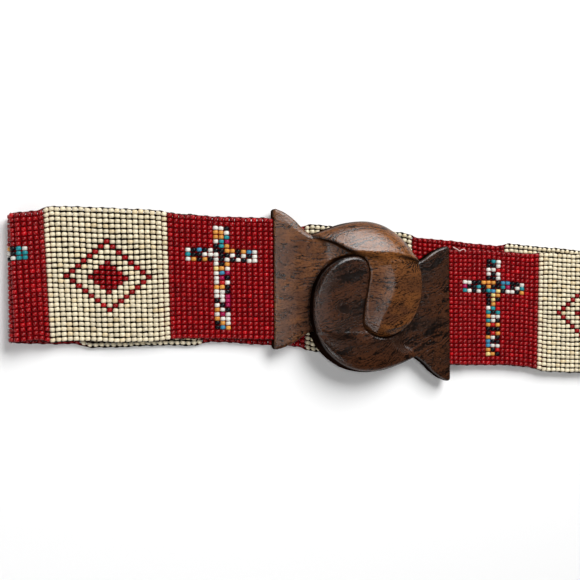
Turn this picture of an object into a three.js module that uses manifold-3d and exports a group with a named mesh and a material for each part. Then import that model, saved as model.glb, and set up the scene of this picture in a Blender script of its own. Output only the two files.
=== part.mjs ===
// Beaded stretch belt, fastened and lying flat: a woven loop of seed beads, closed in front by two
// carved wooden hooks that clasp each other like linked hands.
// Millimetres, +Z up, +X along the belt. The origin is under the middle of the clasp, on the surface
// that the belt lies on. The right hook is the left one turned half round about the origin.
import * as THREE from 'three';
import { mergeVertices } from 'three/addons/utils/BufferGeometryUtils.js';
import Module from 'manifold-3d';

// Weave of the band
const columnPitch = 3.07; // from one column of beads to the next, along the band
const redRowPitch = 2.43; // from one row to the next, across a red panel
const creamRowPitch = 2.6; // the cream beads are a little longer, so their panels bulge
const rowCount = 27;
const redColumns = 19;
const creamColumns = 21;
const redPanels = 6;
const creamPanels = 5;
const bandThickness = 3; // one bead
const edgeThickness = 1.8; // the round ends of the outer beads
const edgeRound = 1.2;
const panelBlend = 5; // length over which the width changes from one panel to the next

// How the loop lies
const layerGap = 0.3; // between the back layer, the front layer and the plates
const foldHollow = 5.2; // height inside the two folds at the ends of the flattened loop
const foldClimb = 26; // length over which the front layer climbs to a fold
const settleLength = 20; // length over which the front layer comes down from a plate

// Hook plates: the fishtail that carries the end of the band
const plateReach = 52.5; // outer end, from the middle of the clasp
const plateThickness = 7;
const plateEndThickness = 6;
const plateFlatReach = 38; // the top of the plate falls away from here to its outer end
const plateFarCorner = 48.3; // corner on the side of the plate's own arm, from the middle line
const plateNearCorner = 28.2; // corner on the other side
const cornerRound = 1.8;

// Round of the clasp: an arm, and the head that it carries over the other plate
const claspHalfLength = 33;
const claspHalfWidth = 41.8;
const armRise = 9.7; // highest part of an arm, above the plates
const headRise = 8.7; // ridge of a head, above the plates
const headFall = 2.4; // how far a head falls away from its ridge
const headFallSpan = 15; // within this distance
const shoulderReach = 4; // the rounding along the seam, measured into the head
const shoulderDrop = 4.6;
const rampStart = 24; // the plate climbs into the head from here
const rampEnd = 2;
const seam = 0.4; // between the two hooks
const seatGap = 0.3; // between a head and the plate under it
const armLap = 0.4; // how far the head runs in under the arm's step
const rootLap = 0.5; // how far the root of an arm reaches inwards past the end of its step

// Slot in the outer end of a plate, where the band is let in
const slotDepth = 4;
const slotClearance = 0.3;

// Fineness of the faceted surfaces
const carvingGrid = 1.9;
const curveSteps = 4;
const cutMargin = 1; // how far an arm's blank stands above its carved top

// Outer line of an arm, its carved step and its crest, from notch to notch.
// across: share of the clasp's half length; edge, step: shares of its half width; crest: share of the rise
const armTable = [
    { across: -0.928, edge: 0.815, step: 0.797, crest: 0.02 },
    { across: -0.6, edge: 0.912, step: 0.72, crest: 0.5 },
    { across: -0.3, edge: 0.979, step: 0.6, crest: 0.86 },
    { across: 0, edge: 1, step: 0.563, crest: 0.98 },
    { across: 0.24, edge: 0.973, step: 0.563, crest: 1 },
    { across: 0.45, edge: 0.907, step: 0.556, crest: 0.96 },
    { across: 0.66, edge: 0.79, step: 0.523, crest: 0.89 },
    { across: 0.81, edge: 0.656, step: 0.492, crest: 0.78 },
    { across: 0.928, edge: 0.476, step: 0.458, crest: 0.68 },
];

// Seam between the hooks from the middle of the clasp round the left hook's head; the other half is
// the same line turned half round. across, up: shares of the clasp's half length and half width
const headTable = [
    { across: 0, up: 0 },
    { across: -0.04, up: -0.166 },
    { across: -0.064, up: -0.333 },
    { across: -0.012, up: -0.445 },
    { across: 0.11, up: -0.518 },
    { across: 0.284, up: -0.545 },
    { across: 0.479, up: -0.515 },
    { across: 0.653, up: -0.445 },
    { across: 0.796, up: -0.352 },
    { across: 0.91, up: -0.214 },
    { across: 0.976, up: -0.059 },
    { across: 1, up: 0.119 },
    { across: 0.988, up: 0.297 },
    { across: 0.928, up: 0.467 },
];

// Rounding of the left hook along the seam. along: share of the line from the clasp's middle, less
// than nothing round the other head; reach, drop: shares of the shoulder's
const shoulderTable = [
    { along: -1, reach: 0.3, drop: 0.1 },
    { along: -0.5, reach: 0.4, drop: 0.15 },
    { along: -0.22, reach: 0.6, drop: 0.5 },
    { along: 0, reach: 0.85, drop: 0.9 },
    { along: 0.2, reach: 1, drop: 1 },
    { along: 0.42, reach: 1, drop: 0.95 },
    { along: 0.62, reach: 0.55, drop: 0.4 },
    { along: 1, reach: 0.5, drop: 0.35 },
];

// Ridge along the top of the left hook's head, in the same shares
const ridgeTable = [
    { across: 0.18, up: 0.62 },
    { across: 0.34, up: 0.454 },
    { across: 0.415, up: 0.3 },
    { across: 0.42, up: 0.14 },
    { across: 0.36, up: -0.06 },
    { across: 0.24, up: -0.22 },
    { across: 0.12, up: -0.36 },
];

// Sideways place of the band along the loop, from the left plate round to the right one.
// along: share of the loop's length; aside: share of how far the two plates stand out of line
const loopTable = [
    { along: 0, aside: 1.1 },
    { along: 0.1, aside: 1.28 },
    { along: 0.17, aside: 1.26 },
    { along: 0.21, aside: 1.08 },
    { along: 0.27, aside: 0.98 },
    { along: 0.36, aside: 0.98 },
    { along: 0.44, aside: 0.6 },
    { along: 0.55, aside: 0.04 },
    { along: 0.65, aside: -0.55 },
    { along: 0.73, aside: -0.98 },
    { along: 0.79, aside: -1.1 },
    { along: 0.88, aside: -1.08 },
    { along: 0.94, aside: -0.88 },
    { along: 1, aside: -0.76 },
];

const wasm = await Module();
wasm.setup();

const plateBottom = bandThickness + layerGap;
const plateTop = plateBottom + plateThickness;
const plateMiddle = plateBottom + plateEndThickness / 2;
const claspTop = plateTop + armRise;
const plateOffset = (plateFarCorner - plateNearCorner) / 2;
const redWidth = rowCount * redRowPitch;
const creamWidth = rowCount * creamRowPitch;

const wood = new THREE.MeshStandardMaterial({ color: 0x5a3524, roughness: 0.38, metalness: 0 });
const darkWood = new THREE.MeshStandardMaterial({ color: 0x4a2d20, roughness: 0.38, metalness: 0 });
const beads = new THREE.MeshStandardMaterial({ color: 0x9a1420, roughness: 0.3, metalness: 0 });

// A column of a table read smoothly at a place along its key column
function readTable(table, key, column, place) {
    const last = table.length - 1;
    const next = table.findIndex((row) => row[key] > place);
    const i = next === -1 ? last - 1 : Math.max(next - 1, 0);
    const start = table[i];
    const end = table[i + 1];
    const span = end[key] - start[key];
    const slopeAt = (j) => {
        const before = table[Math.max(j - 1, 0)];
        const after = table[Math.min(j + 1, last)];
        return (after[column] - before[column]) / (after[key] - before[key]);
    };
    const t = THREE.MathUtils.clamp((place - start[key]) / span, 0, 1);
    const bend = t * t * (3 - 2 * t);
    const leave = t * (1 - t) ** 2 * span * slopeAt(i);
    const arrive = t * t * (1 - t) * span * slopeAt(i + 1);
    return THREE.MathUtils.lerp(start[column], end[column], bend) + leave - arrive;
}

function toManifold(geometry) {
    const bare = geometry.clone();
    bare.deleteAttribute('normal');
    bare.deleteAttribute('uv');
    const merged = mergeVertices(bare, 1e-4);
    const vertProperties = Float32Array.from(merged.attributes.position.array);
    const triVerts = Uint32Array.from(merged.index.array);
    return new wasm.Manifold(new wasm.Mesh({ numProp: 3, vertProperties, triVerts }));
}

function toGeometry(solid) {
    const mesh = solid.getMesh();
    const geometry = new THREE.BufferGeometry();
    geometry.setAttribute('position', new THREE.BufferAttribute(mesh.vertProperties, 3));
    geometry.setIndex(new THREE.BufferAttribute(mesh.triVerts, 1));
    geometry.computeVertexNormals();
    return geometry;
}

// Upright prism over an outline, between two heights
function prism(outline, bottom, top) {
    const shape = new THREE.Shape(outline);
    const geometry = new THREE.ExtrudeGeometry(shape, { depth: top - bottom, bevelEnabled: false });
    geometry.translate(0, 0, bottom);
    return toManifold(geometry);
}

// Block whose top follows a height function, over the left hook's whole extent
function carvedBlock(heightAt) {
    const margin = carvingGrid;
    const length = plateReach + claspHalfLength + 2 * margin;
    const width = 2 * (plateFarCorner + margin);
    const steps = [Math.round(length / carvingGrid), Math.round(width / carvingGrid)];
    const geometry = new THREE.BoxGeometry(length, width, 1, steps[0], steps[1], 1);
    geometry.translate((claspHalfLength - plateReach) / 2, 0, 0.5);
    const position = geometry.attributes.position;
    for (let i = 0; i < position.count; i += 1) {
        if (position.getZ(i) > 0) {
            position.setZ(i, heightAt(position.getX(i), position.getY(i)));
        }
    }
    return toManifold(geometry);
}

function splinePoints(points, stepsPerSpan) {
    return new THREE.SplineCurve(points).getPoints((points.length - 1) * stepsPerSpan);
}

// Line moved sideways to its left by a distance
function offsetLine(points, distance) {
    return points.map((point, i) => {
        const before = points[Math.max(i - 1, 0)];
        const after = points[Math.min(i + 1, points.length - 1)];
        const along = after.clone().sub(before).normalize();
        return new THREE.Vector2(point.x - along.y * distance, point.y + along.x * distance);
    });
}

// Nearest point of a line: its distance, and its share of the line's points
function nearestOnLine(points, x, y) {
    const place = new THREE.Vector3(x, y, 0);
    const nearest = new THREE.Vector3();
    const span = new THREE.Line3();
    const found = { distance: Infinity, share: 0 };
    for (let i = 1; i < points.length; i += 1) {
        span.start.set(points[i - 1].x, points[i - 1].y, 0);
        span.end.set(points[i].x, points[i].y, 0);
        const within = span.closestPointToPointParameter(place, true);
        const distance = span.at(within, nearest).distanceTo(place);
        if (distance < found.distance) {
            found.distance = distance;
            found.share = (i - 1 + within) / (points.length - 1);
        }
    }
    return found;
}

const fromShares = (row) => new THREE.Vector2(row.across * claspHalfLength, row.up * claspHalfWidth);
const headLine = splinePoints(headTable.map(fromShares), curveSteps);
const ridgeLine = splinePoints(ridgeTable.map(fromShares), curveSteps);
const turnedHeadLine = headLine.slice(1).reverse().map((point) => point.clone().negate());
const fullSeam = [...turnedHeadLine, ...headLine];
const armLine = (column) => splinePoints(
    armTable.map((row) => new THREE.Vector2(row.across * claspHalfLength, row[column] * claspHalfWidth)),
    curveSteps,
);
const armEdge = armLine('edge');
const stepLine = armLine('step');

// Notches where a plate meets the round of the clasp: the arm's own on the far side, and on the near
// side the seam along the root of the other arm
const notchReach = -armEdge[0].x;
const farNotch = armEdge[0].y;
const nearNotch = stepLine.at(-1).y - rootLap;

// Top of the left hook's head, and of the plate where it climbs into it
function headHeight(x, y) {
    const ridge = nearestOnLine(ridgeLine, x, y).distance / headFallSpan;
    const edge = nearestOnLine(fullSeam, x, y);
    const along = 2 * edge.share - 1;
    const reach = shoulderReach * readTable(shoulderTable, 'along', 'reach', along);
    const drop = shoulderDrop * readTable(shoulderTable, 'along', 'drop', along);
    const shoulder = Math.max(1 - edge.distance / reach, 0);
    const head = plateTop + headRise - headFall * ridge ** 1.5 - drop * shoulder ** 2;
    const ramp = THREE.MathUtils.smoothstep(x, -rampStart, -rampEnd);
    return THREE.MathUtils.lerp(plateTop, head, ramp);
}

// Top of the left hook's arm: a rolled flank that climbs from the outer line to the carved step
function armHeight(x, y) {
    const across = x / claspHalfLength;
    const edge = readTable(armTable, 'across', 'edge', across) * claspHalfWidth;
    const step = readTable(armTable, 'across', 'step', across) * claspHalfWidth;
    const crest = armRise * readTable(armTable, 'across', 'crest', across);
    const inward = THREE.MathUtils.clamp((edge - y) / Math.max(edge - step, carvingGrid), 0, 1);
    return plateTop + crest * Math.sqrt(inward * (2 - inward));
}

// Top of the left hook's plate: flat under the other head, falling to the outer end
function plateHeight(x) {
    const fall = THREE.MathUtils.clamp((-x - plateFlatReach) / (plateReach - plateFlatReach), 0, 1);
    return plateTop - (plateThickness - plateEndThickness) * fall ** 1.5;
}

// One side of the fishtail, from its corner to the notch; side is 1 on the side of the arm
function fishtailEdge(side, corner, notch) {
    const length = plateReach - notchReach;
    const drop = corner - notch;
    const points = [
        { along: 0.12, fall: 0.02 },
        { along: 0.32, fall: 0.16 },
        { along: 0.55, fall: 0.42 },
        { along: 0.78, fall: 0.76 },
        { along: 1, fall: 1 },
    ].map((row) => new THREE.Vector2(-plateReach + row.along * length, side * (corner - row.fall * drop)));
    return splinePoints(points, curveSteps);
}

// Round corner of the plate's outer end
function corner(side, reach) {
    const arc = new THREE.EllipseCurve(
        -plateReach + cornerRound, side * (reach - cornerRound), cornerRound, cornerRound,
        Math.PI, side > 0 ? Math.PI / 2 : 1.5 * Math.PI, side > 0,
    );
    return arc.getPoints(curveSteps);
}

// Plan of the left plate with the root of its arm, and the seam to the other plate hidden under the heads
function plateOutline() {
    const half = seam / 2;
    const hidden = [
        new THREE.Vector2(notchReach, nearNotch + half),
        new THREE.Vector2(-half, nearNotch + half),
        new THREE.Vector2(-half, -nearNotch + half),
        new THREE.Vector2(-notchReach, -nearNotch + half),
    ];
    return [
        ...corner(1, plateFarCorner),
        ...fishtailEdge(1, plateFarCorner, farNotch),
        ...armEdge.slice(1, -1),
        ...hidden,
        ...fishtailEdge(-1, plateNearCorner, nearNotch - half).reverse().slice(1),
        ...corner(-1, plateNearCorner).reverse(),
    ];
}

// Plan of the left head and of the climb into it, from just under the arm to a seam line
function headOutline(seamLine) {
    return [...offsetLine(stepLine, armLap), ...seamLine];
}

// Seam line of the head, shifted by half the seam to the left hook's side
function headSeam() {
    const climb = turnedHeadLine.filter((point) => point.y > 0 && point.x > -rampStart);
    return offsetLine([...climb, ...headLine], seam / 2).reverse().slice(1);
}

// Seam line of the root of the arm, where the left hook is solid from its underside up
function rootSeam() {
    const height = nearNotch + seam / 2;
    const isOverPlate = (point) => point.x < -seam / 2 && point.y > nearNotch / 2;
    const isAboveOtherPlate = (point) => point.x < notchReach / 2 && point.y > height;
    const overPlate = headSeam().filter((point) => isOverPlate(point) || isAboveOtherPlate(point));
    return [new THREE.Vector2(stepLine.at(-1).x, height), ...overPlate];
}

// The left hook, with the slot for the end of the band at a place across it
function hookSolid(slotMiddle) {
    const head = carvedBlock(headHeight);
    const slot = new THREE.BoxGeometry(
        2 * slotDepth, redWidth + 2 * slotClearance, bandThickness + 2 * slotClearance,
    );
    slot.translate(-plateReach, slotMiddle, plateMiddle);
    return prism(plateOutline(), plateBottom, claspTop).intersect(carvedBlock(plateHeight))
        .add(prism(headOutline(headSeam()), plateTop + seatGap, claspTop).intersect(head))
        .add(prism(headOutline(rootSeam()), plateBottom, claspTop).intersect(head))
        .add(prism([...armEdge, ...stepLine.slice().reverse()], plateBottom, claspTop + cutMargin)
            .intersect(carvedBlock(armHeight)))
        .subtract(toManifold(slot));
}

// Length of bead work from plate to plate, and the fold places that it gives
const loopLength = columnPitch * (redPanels * redColumns + creamPanels * creamColumns);
const foldRadius = (foldHollow + bandThickness) / 2;
const foldMiddle = (loopLength - 2 * Math.PI * foldRadius + 2 * plateReach) / 4;
const backLevel = bandThickness / 2;
const frontLevel = backLevel + bandThickness + layerGap;
const foldLevel = backLevel + foldRadius;

// A smooth change of level between two places, seen from the side
function levelChange(fromX, fromZ, toX, toZ) {
    const middle = (fromX + toX) / 2;
    return new THREE.CubicBezierCurve(
        new THREE.Vector2(fromX, fromZ),
        new THREE.Vector2(middle, fromZ),
        new THREE.Vector2(middle, toZ),
        new THREE.Vector2(toX, toZ),
    );
}

// Stations of the band's middle line, seen from the side, with the travel along it and its direction
function bandStations() {
    const seat = plateReach - slotDepth + slotClearance;
    const settled = plateReach + settleLength;
    const climb = foldMiddle - foldClimb;
    const foldTop = foldLevel + foldRadius;
    const line = (fromX, toX, z) => new THREE.LineCurve(new THREE.Vector2(fromX, z), new THREE.Vector2(toX, z));
    const fold = (side) => {
        const start = side * Math.PI * -0.5;
        return new THREE.EllipseCurve(
            side * foldMiddle, foldLevel, foldRadius, foldRadius, start, start + Math.PI, false,
        );
    };
    const pieces = [
        { curve: line(-seat, -plateReach, plateMiddle), steps: 1 },
        { curve: levelChange(-plateReach, plateMiddle, -settled, frontLevel), steps: 6 },
        { curve: line(-settled, -climb, frontLevel), steps: 22 },
        { curve: levelChange(-climb, frontLevel, -foldMiddle, foldTop), steps: 8 },
        { curve: fold(-1), steps: 10 },
        { curve: line(-foldMiddle, foldMiddle, backLevel), steps: 72 },
        { curve: fold(1), steps: 10 },
        { curve: levelChange(foldMiddle, foldTop, climb, frontLevel), steps: 8 },
        { curve: line(climb, settled, frontLevel), steps: 22 },
        { curve: levelChange(settled, frontLevel, plateReach, plateMiddle), steps: 6 },
        { curve: line(plateReach, seat, plateMiddle), steps: 1 },
    ];
    const stations = [];
    let travel = seat - plateReach;
    for (const { curve, steps } of pieces) {
        for (let i = stations.length === 0 ? 0 : 1; i <= steps; i += 1) {
            const place = curve.getPointAt(i / steps);
            const along = curve.getTangentAt(i / steps);
            stations.push({ place, along, travel: travel + curve.getLength() * i / steps });
        }
        travel += curve.getLength();
    }
    return stations;
}

// Width of the band at a share of its length: red and cream panels take turns, red ones at the ends
function bandWidth(share) {
    const redLength = redColumns * columnPitch;
    const creamLength = creamColumns * columnPitch;
    const travel = THREE.MathUtils.clamp(share * loopLength, 0, loopLength - panelBlend / 2);
    const within = travel % (redLength + creamLength);
    const fromCreamMiddle = Math.abs(within - redLength - creamLength / 2);
    const [full, none] = [(creamLength - panelBlend) / 2, (creamLength + panelBlend) / 2];
    return THREE.MathUtils.lerp(creamWidth, redWidth, THREE.MathUtils.smoothstep(fromCreamMiddle, full, none));
}

function bandAside(share) {
    return plateOffset * readTable(loopTable, 'along', 'aside', THREE.MathUtils.clamp(share, 0, 1));
}

// The band: a straight bar bent along the stations
function bandGeometry() {
    const stations = bandStations();
    const lastStation = stations.length - 1;
    const beadTravel = stations[lastStation].travel + stations[0].travel;
    const geometry = new THREE.BoxGeometry(1, 1, 1, lastStation, 3, 1);
    const position = geometry.attributes.position;
    for (let i = 0; i < position.count; i += 1) {
        const { place, along, travel } = stations[Math.round((position.getX(i) + 0.5) * lastStation)];
        const share = travel / beadTravel;
        const halfWidth = bandWidth(share) / 2;
        const row = Math.round((position.getY(i) + 0.5) * 3);
        const across = [-halfWidth, edgeRound - halfWidth, halfWidth - edgeRound, halfWidth][row];
        const thickness = row === 0 || row === 3 ? edgeThickness : bandThickness;
        const outward = position.getZ(i) * thickness;
        position.setXYZ(
            i,
            place.x + along.y * outward,
            bandAside(share) - across,
            place.y - along.x * outward,
        );
    }
    return mergeVertices(geometry);
}

const belt = new THREE.Group();

const leftHook = new THREE.Mesh(toGeometry(hookSolid(bandAside(0))), wood);
leftHook.name = 'buckle_hook_left';
belt.add(leftHook);

const rightHook = new THREE.Mesh(toGeometry(hookSolid(-bandAside(1))), darkWood);
rightHook.name = 'buckle_hook_right';
rightHook.rotation.z = Math.PI;
belt.add(rightHook);

const band = new THREE.Mesh(bandGeometry(), beads);
band.name = 'beaded_band';
belt.add(band);

export default belt;
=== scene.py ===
"""Beaded stretch belt with a carved wooden clasp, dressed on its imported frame.

The belt is a loop of loom-woven seed beads, pressed flat, and closed in front by two wooden hooks that
clasp each other like linked hands. Lengths are metres, +Z is up, +X runs along the belt, and the origin
lies under the middle of the clasp, on the surface that the belt rests on.
"""
import logging
import math
from dataclasses import dataclass, field
from enum import Enum

import bpy
import numpy as np
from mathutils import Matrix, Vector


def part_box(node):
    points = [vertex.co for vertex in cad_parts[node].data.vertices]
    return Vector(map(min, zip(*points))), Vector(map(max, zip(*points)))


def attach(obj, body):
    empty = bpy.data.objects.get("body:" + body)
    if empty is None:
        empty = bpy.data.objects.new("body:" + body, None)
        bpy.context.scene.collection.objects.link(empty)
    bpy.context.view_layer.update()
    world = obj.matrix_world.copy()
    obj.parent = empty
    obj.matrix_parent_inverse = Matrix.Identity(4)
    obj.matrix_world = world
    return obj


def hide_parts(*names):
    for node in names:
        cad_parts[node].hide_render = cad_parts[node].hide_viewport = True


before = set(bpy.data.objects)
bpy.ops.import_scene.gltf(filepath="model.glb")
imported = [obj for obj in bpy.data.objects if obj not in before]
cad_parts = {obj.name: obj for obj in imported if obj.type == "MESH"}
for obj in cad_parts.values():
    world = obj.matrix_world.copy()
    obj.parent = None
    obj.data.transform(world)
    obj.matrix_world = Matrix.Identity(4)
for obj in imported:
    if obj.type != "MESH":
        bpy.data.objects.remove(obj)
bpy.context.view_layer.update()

import openvdb
from mathutils import Matrix, Vector

MM = 0.001
BAND_NODE = "beaded_band"
LEFT_HOOK_NODE = "buckle_hook_left"
RIGHT_HOOK_NODE = "buckle_hook_right"

logging.basicConfig(level=logging.INFO, format="%(message)s")
log = logging.getLogger("belt")


# Curves and tables

def table_value(places: list[float], values: list[float], at: np.ndarray) -> np.ndarray:
    """Reads a table of chosen values smoothly.

    Args:
        places: Rising keys of the table.
        values: The value at each key.
        at: Where to read it; past its ends the table stays level.

    Returns:
        The cubic through the values, with the slope at each key taken from its neighbours.
    """
    key = np.asarray(places, float)
    value = np.asarray(values, float)
    slope = np.gradient(value)
    spread = np.gradient(key)
    slope = slope / spread
    i = np.clip(np.searchsorted(key, at, side="right") - 1, 0, len(key) - 2)
    span = key[i + 1] - key[i]
    t = np.clip((at - key[i]) / span, 0, 1)
    bend = t * t * (3 - 2 * t)
    leave = t * (1 - t) ** 2 * span * slope[i]
    arrive = t * t * (1 - t) * span * slope[i + 1]
    return value[i] + (value[i + 1] - value[i]) * bend + leave - arrive


def smoothstep(value: np.ndarray, low: float, high: float) -> np.ndarray:
    """Returns 0 before low, 1 after high and an easy rise between them."""
    t = np.clip((value - low) / (high - low), 0, 1)
    return t * t * (3 - 2 * t)


def spline(points: np.ndarray, steps: int) -> np.ndarray:
    """Draws a smooth line through points of a plan.

    Args:
        points: Two columns, x and y.
        steps: Straight pieces from one point to the next.

    Returns:
        The points of the line, the given ones among them.
    """
    padded = np.vstack([points[:1], points, points[-1:]])
    t = np.linspace(0, 1, steps, endpoint=False)[:, None]
    spans = []
    for before, start, end, after in zip(padded, padded[1:], padded[2:], padded[3:]):
        leave = (end - before) / 2
        arrive = (after - start) / 2
        cubic = 2 * start - 2 * end + leave + arrive
        square = -3 * start + 3 * end - 2 * leave - arrive
        spans.append(cubic * t**3 + square * t**2 + leave * t + start)
    return np.vstack([*spans, points[-1:]])


def offset_line(points: np.ndarray, distance: float) -> np.ndarray:
    """Moves a line of a plan sideways, to the left of its direction, by a distance."""
    along = np.gradient(points, axis=0)
    along /= np.linalg.norm(along, axis=1, keepdims=True)
    return points + distance * np.stack([-along[:, 1], along[:, 0]], axis=1)


def nearest_on_line(points: np.ndarray, x: np.ndarray, y: np.ndarray) -> tuple[np.ndarray, np.ndarray]:
    """Finds the nearest point of a line for every place of a plan.

    Args:
        points: The line.
        x: Places, first coordinate.
        y: Places, second coordinate.

    Returns:
        The distance, and the share of the line's points at which the nearest point lies.
    """
    distance = np.full(x.shape, np.inf)
    share = np.zeros(x.shape)
    for i, (start, end) in enumerate(zip(points, points[1:])):
        run = end - start
        t = np.clip(((x - start[0]) * run[0] + (y - start[1]) * run[1]) / (run @ run), 0, 1)
        reach = np.hypot(x - start[0] - t * run[0], y - start[1] - t * run[1])
        closer = reach < distance
        distance = np.where(closer, reach, distance)
        share = np.where(closer, (i + t) / (len(points) - 1), share)
    return distance, share


def outline_distance(outline: np.ndarray, x: np.ndarray, y: np.ndarray) -> np.ndarray:
    """Returns the distance from a closed outline, less than nothing inside it."""
    closed = np.vstack([outline, outline[:1]])
    distance, _ = nearest_on_line(closed, x, y)
    inside = np.zeros(x.shape, bool)
    for start, end in zip(closed, closed[1:]):
        crosses = (start[1] > y) != (end[1] > y)
        rise = end[1] - start[1] or 1.0
        inside ^= crosses & (x < start[0] + (y - start[1]) * (end[0] - start[0]) / rise)
    return np.where(inside, -distance, distance)


def round_meet(first: np.ndarray, second: np.ndarray, radius: float) -> np.ndarray:
    """Keeps what lies inside both distance fields, with the edge between them rounded."""
    over = np.hypot(np.maximum(first + radius, 0), np.maximum(second + radius, 0))
    return np.minimum(-radius, np.maximum(first, second)) + over


def round_join(first: np.ndarray, second: np.ndarray, radius: float) -> np.ndarray:
    """Joins two distance fields, with a fillet in the corner between them."""
    over = np.hypot(np.maximum(radius - first, 0), np.maximum(radius - second, 0))
    return np.maximum(radius, np.minimum(first, second)) - over


# Node trees

class NodeDesk:
    """Places and links the nodes of one tree, and lays them out in columns."""

    def __init__(self, tree: bpy.types.NodeTree) -> None:
        """Starts on an empty tree.

        Args:
            tree: The tree to fill.
        """
        self.tree = tree
        tree.nodes.clear()

    def add(self, kind: str, column: int = 0, row: int = 0, **settings: object) -> bpy.types.Node:
        """Adds one node.

        Args:
            kind: Blender's name of the node.
            column: Place from the left.
            row: Place from the top.
            settings: Properties of the node.

        Returns:
            The new node.
        """
        node = self.tree.nodes.new(kind)
        node.location = (column * 200, -row * 190)
        for name, value in settings.items():
            setattr(node, name, value)
        return node

    def put(self, node: bpy.types.Node, socket: str | int, value: object) -> None:
        """Sets an input: a socket is linked to it, and any other value becomes its own.

        Args:
            node: The node that has the input.
            socket: Name or number of the input, of those that are in use.
            value: An output socket or a plain value.
        """
        target = self.pick(node.inputs, socket)
        if isinstance(value, bpy.types.NodeSocket):
            self.tree.links.new(value, target)
        else:
            target.default_value = value

    def pick(self, sockets: object, socket: str | int) -> bpy.types.NodeSocket:
        """Returns the socket in use that has a name or number."""
        if isinstance(socket, int):
            return [s for s in sockets if s.enabled][socket]
        return next(s for s in sockets if s.enabled and s.name == socket)

    def math(self, operation: str, first: object, second: object = None, third: object = None,
             clamp: bool = False) -> bpy.types.NodeSocket:
        """Adds a Math node and returns its value."""
        node = self.add("ShaderNodeMath", operation=operation, use_clamp=clamp)
        for i, value in enumerate((first, second, third)):
            if value is not None:
                self.put(node, i, value)
        return node.outputs[0]

    def weigh(self, *parts: tuple[bpy.types.NodeSocket, float]) -> bpy.types.NodeSocket:
        """Returns the sum of values, each times its weight."""
        total = self.math("MULTIPLY", *parts[0])
        for value, weight in parts[1:]:
            total = self.math("ADD", total, self.math("MULTIPLY", value, weight))
        return total

    def vector(self, operation: str, first: object, second: object = None,
               scale: object = None) -> bpy.types.NodeSocket:
        """Adds a Vector Math node and returns its result."""
        node = self.add("ShaderNodeVectorMath", operation=operation)
        self.put(node, 0, first)
        if second is not None:
            self.put(node, 1, second)
        if scale is not None:
            self.put(node, "Scale", scale)
        return next(s for s in node.outputs if s.enabled)

    def noise(self, where: object, scale: object, detail: float = 3.0, rough: float = 0.55,
              twist: float = 0.0) -> bpy.types.NodeSocket:
        """Adds a Noise Texture and returns its value, about one half on average."""
        node = self.add("ShaderNodeTexNoise")
        self.put(node, "Vector", where)
        self.put(node, "Scale", scale)
        self.put(node, "Detail", detail)
        self.put(node, "Roughness", rough)
        self.put(node, "Distortion", twist)
        return node.outputs[0]

    def blend(self, share: object, first: object, second: object, way: str = "MIX") -> bpy.types.NodeSocket:
        """Adds a Mix node for colours and returns the mixed colour."""
        node = self.add("ShaderNodeMix", data_type="RGBA", blend_type=way)
        self.put(node, "Factor", share)
        self.put(node, "A", first)
        self.put(node, "B", second)
        return next(s for s in node.outputs if s.enabled)

    def remap(self, value: object, low: object, high: object, to_low: object = 0.0,
              to_high: object = 1.0) -> bpy.types.NodeSocket:
        """Adds a Map Range node, eased and clamped, and returns its result."""
        node = self.add("ShaderNodeMapRange", interpolation_type="SMOOTHSTEP")
        self.put(node, "Value", value)
        self.put(node, "From Min", low)
        self.put(node, "From Max", high)
        self.put(node, "To Min", to_low)
        self.put(node, "To Max", to_high)
        return node.outputs[0]


def make_group(name: str, inputs: list[tuple[str, str, object]],
               outputs: list[tuple[str, str]]) -> tuple[bpy.types.NodeTree, NodeDesk, dict, bpy.types.Node]:
    """Starts a shader node group with named sockets.

    Args:
        name: Name of the group.
        inputs: Name, socket type and usual value of each input.
        outputs: Name and socket type of each output.

    Returns:
        The group, a desk to fill it, its inputs by name, and its output node.
    """
    tree = bpy.data.node_groups.new(name, "ShaderNodeTree")
    for label, kind, value in inputs:
        socket = tree.interface.new_socket(name=label, in_out="INPUT", socket_type=kind)
        if value is not None:
            socket.default_value = value
    for label, kind in outputs:
        tree.interface.new_socket(name=label, in_out="OUTPUT", socket_type=kind)
    desk = NodeDesk(tree)
    given = desk.add("NodeGroupInput", -6)
    result = desk.add("NodeGroupOutput", 8)
    return tree, desk, {socket.name: socket for socket in given.outputs if socket.name}, result


FLOAT = "NodeSocketFloat"
COLOR = "NodeSocketColor"
VECTOR = "NodeSocketVector"


@dataclass(frozen=True)
class GrainLayer:
    """One noise of the wood: how it is drawn out, how fine it is, and the span of it that counts."""

    stretch: tuple[float, float, float]
    scale: float
    detail: float
    low: float = -0.5
    high: float = 0.5


DRIFT = GrainLayer((0.4, 1.0, 0.5), 48.0, 2.0)
FINE_DRIFT = GrainLayer((0.5, 1.0, 1.0), 230.0, 2.0)
FIRMNESS = GrainLayer((0.3, 1.0, 1.0), 210.0, 1.0, -0.12, 0.16)
STREAKS = GrainLayer((0.14, 1.0, 1.0), 620.0, 3.0, -0.12, 0.16)
FLAMES = GrainLayer((0.3, 1.0, 1.1), 170.0, 3.0, 0.02, 0.2)
SPECKLE = GrainLayer((0.6, 1.0, 1.0), 1400.0, 2.0, -0.14, 0.14)
PORES = GrainLayer((0.2, 1.0, 1.0), 1200.0, 1.0, 0.12, 0.2)
PATCHES = GrainLayer((0.6, 1.0, 1.0), 60.0, 3.0, -0.08, 0.14)


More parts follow.
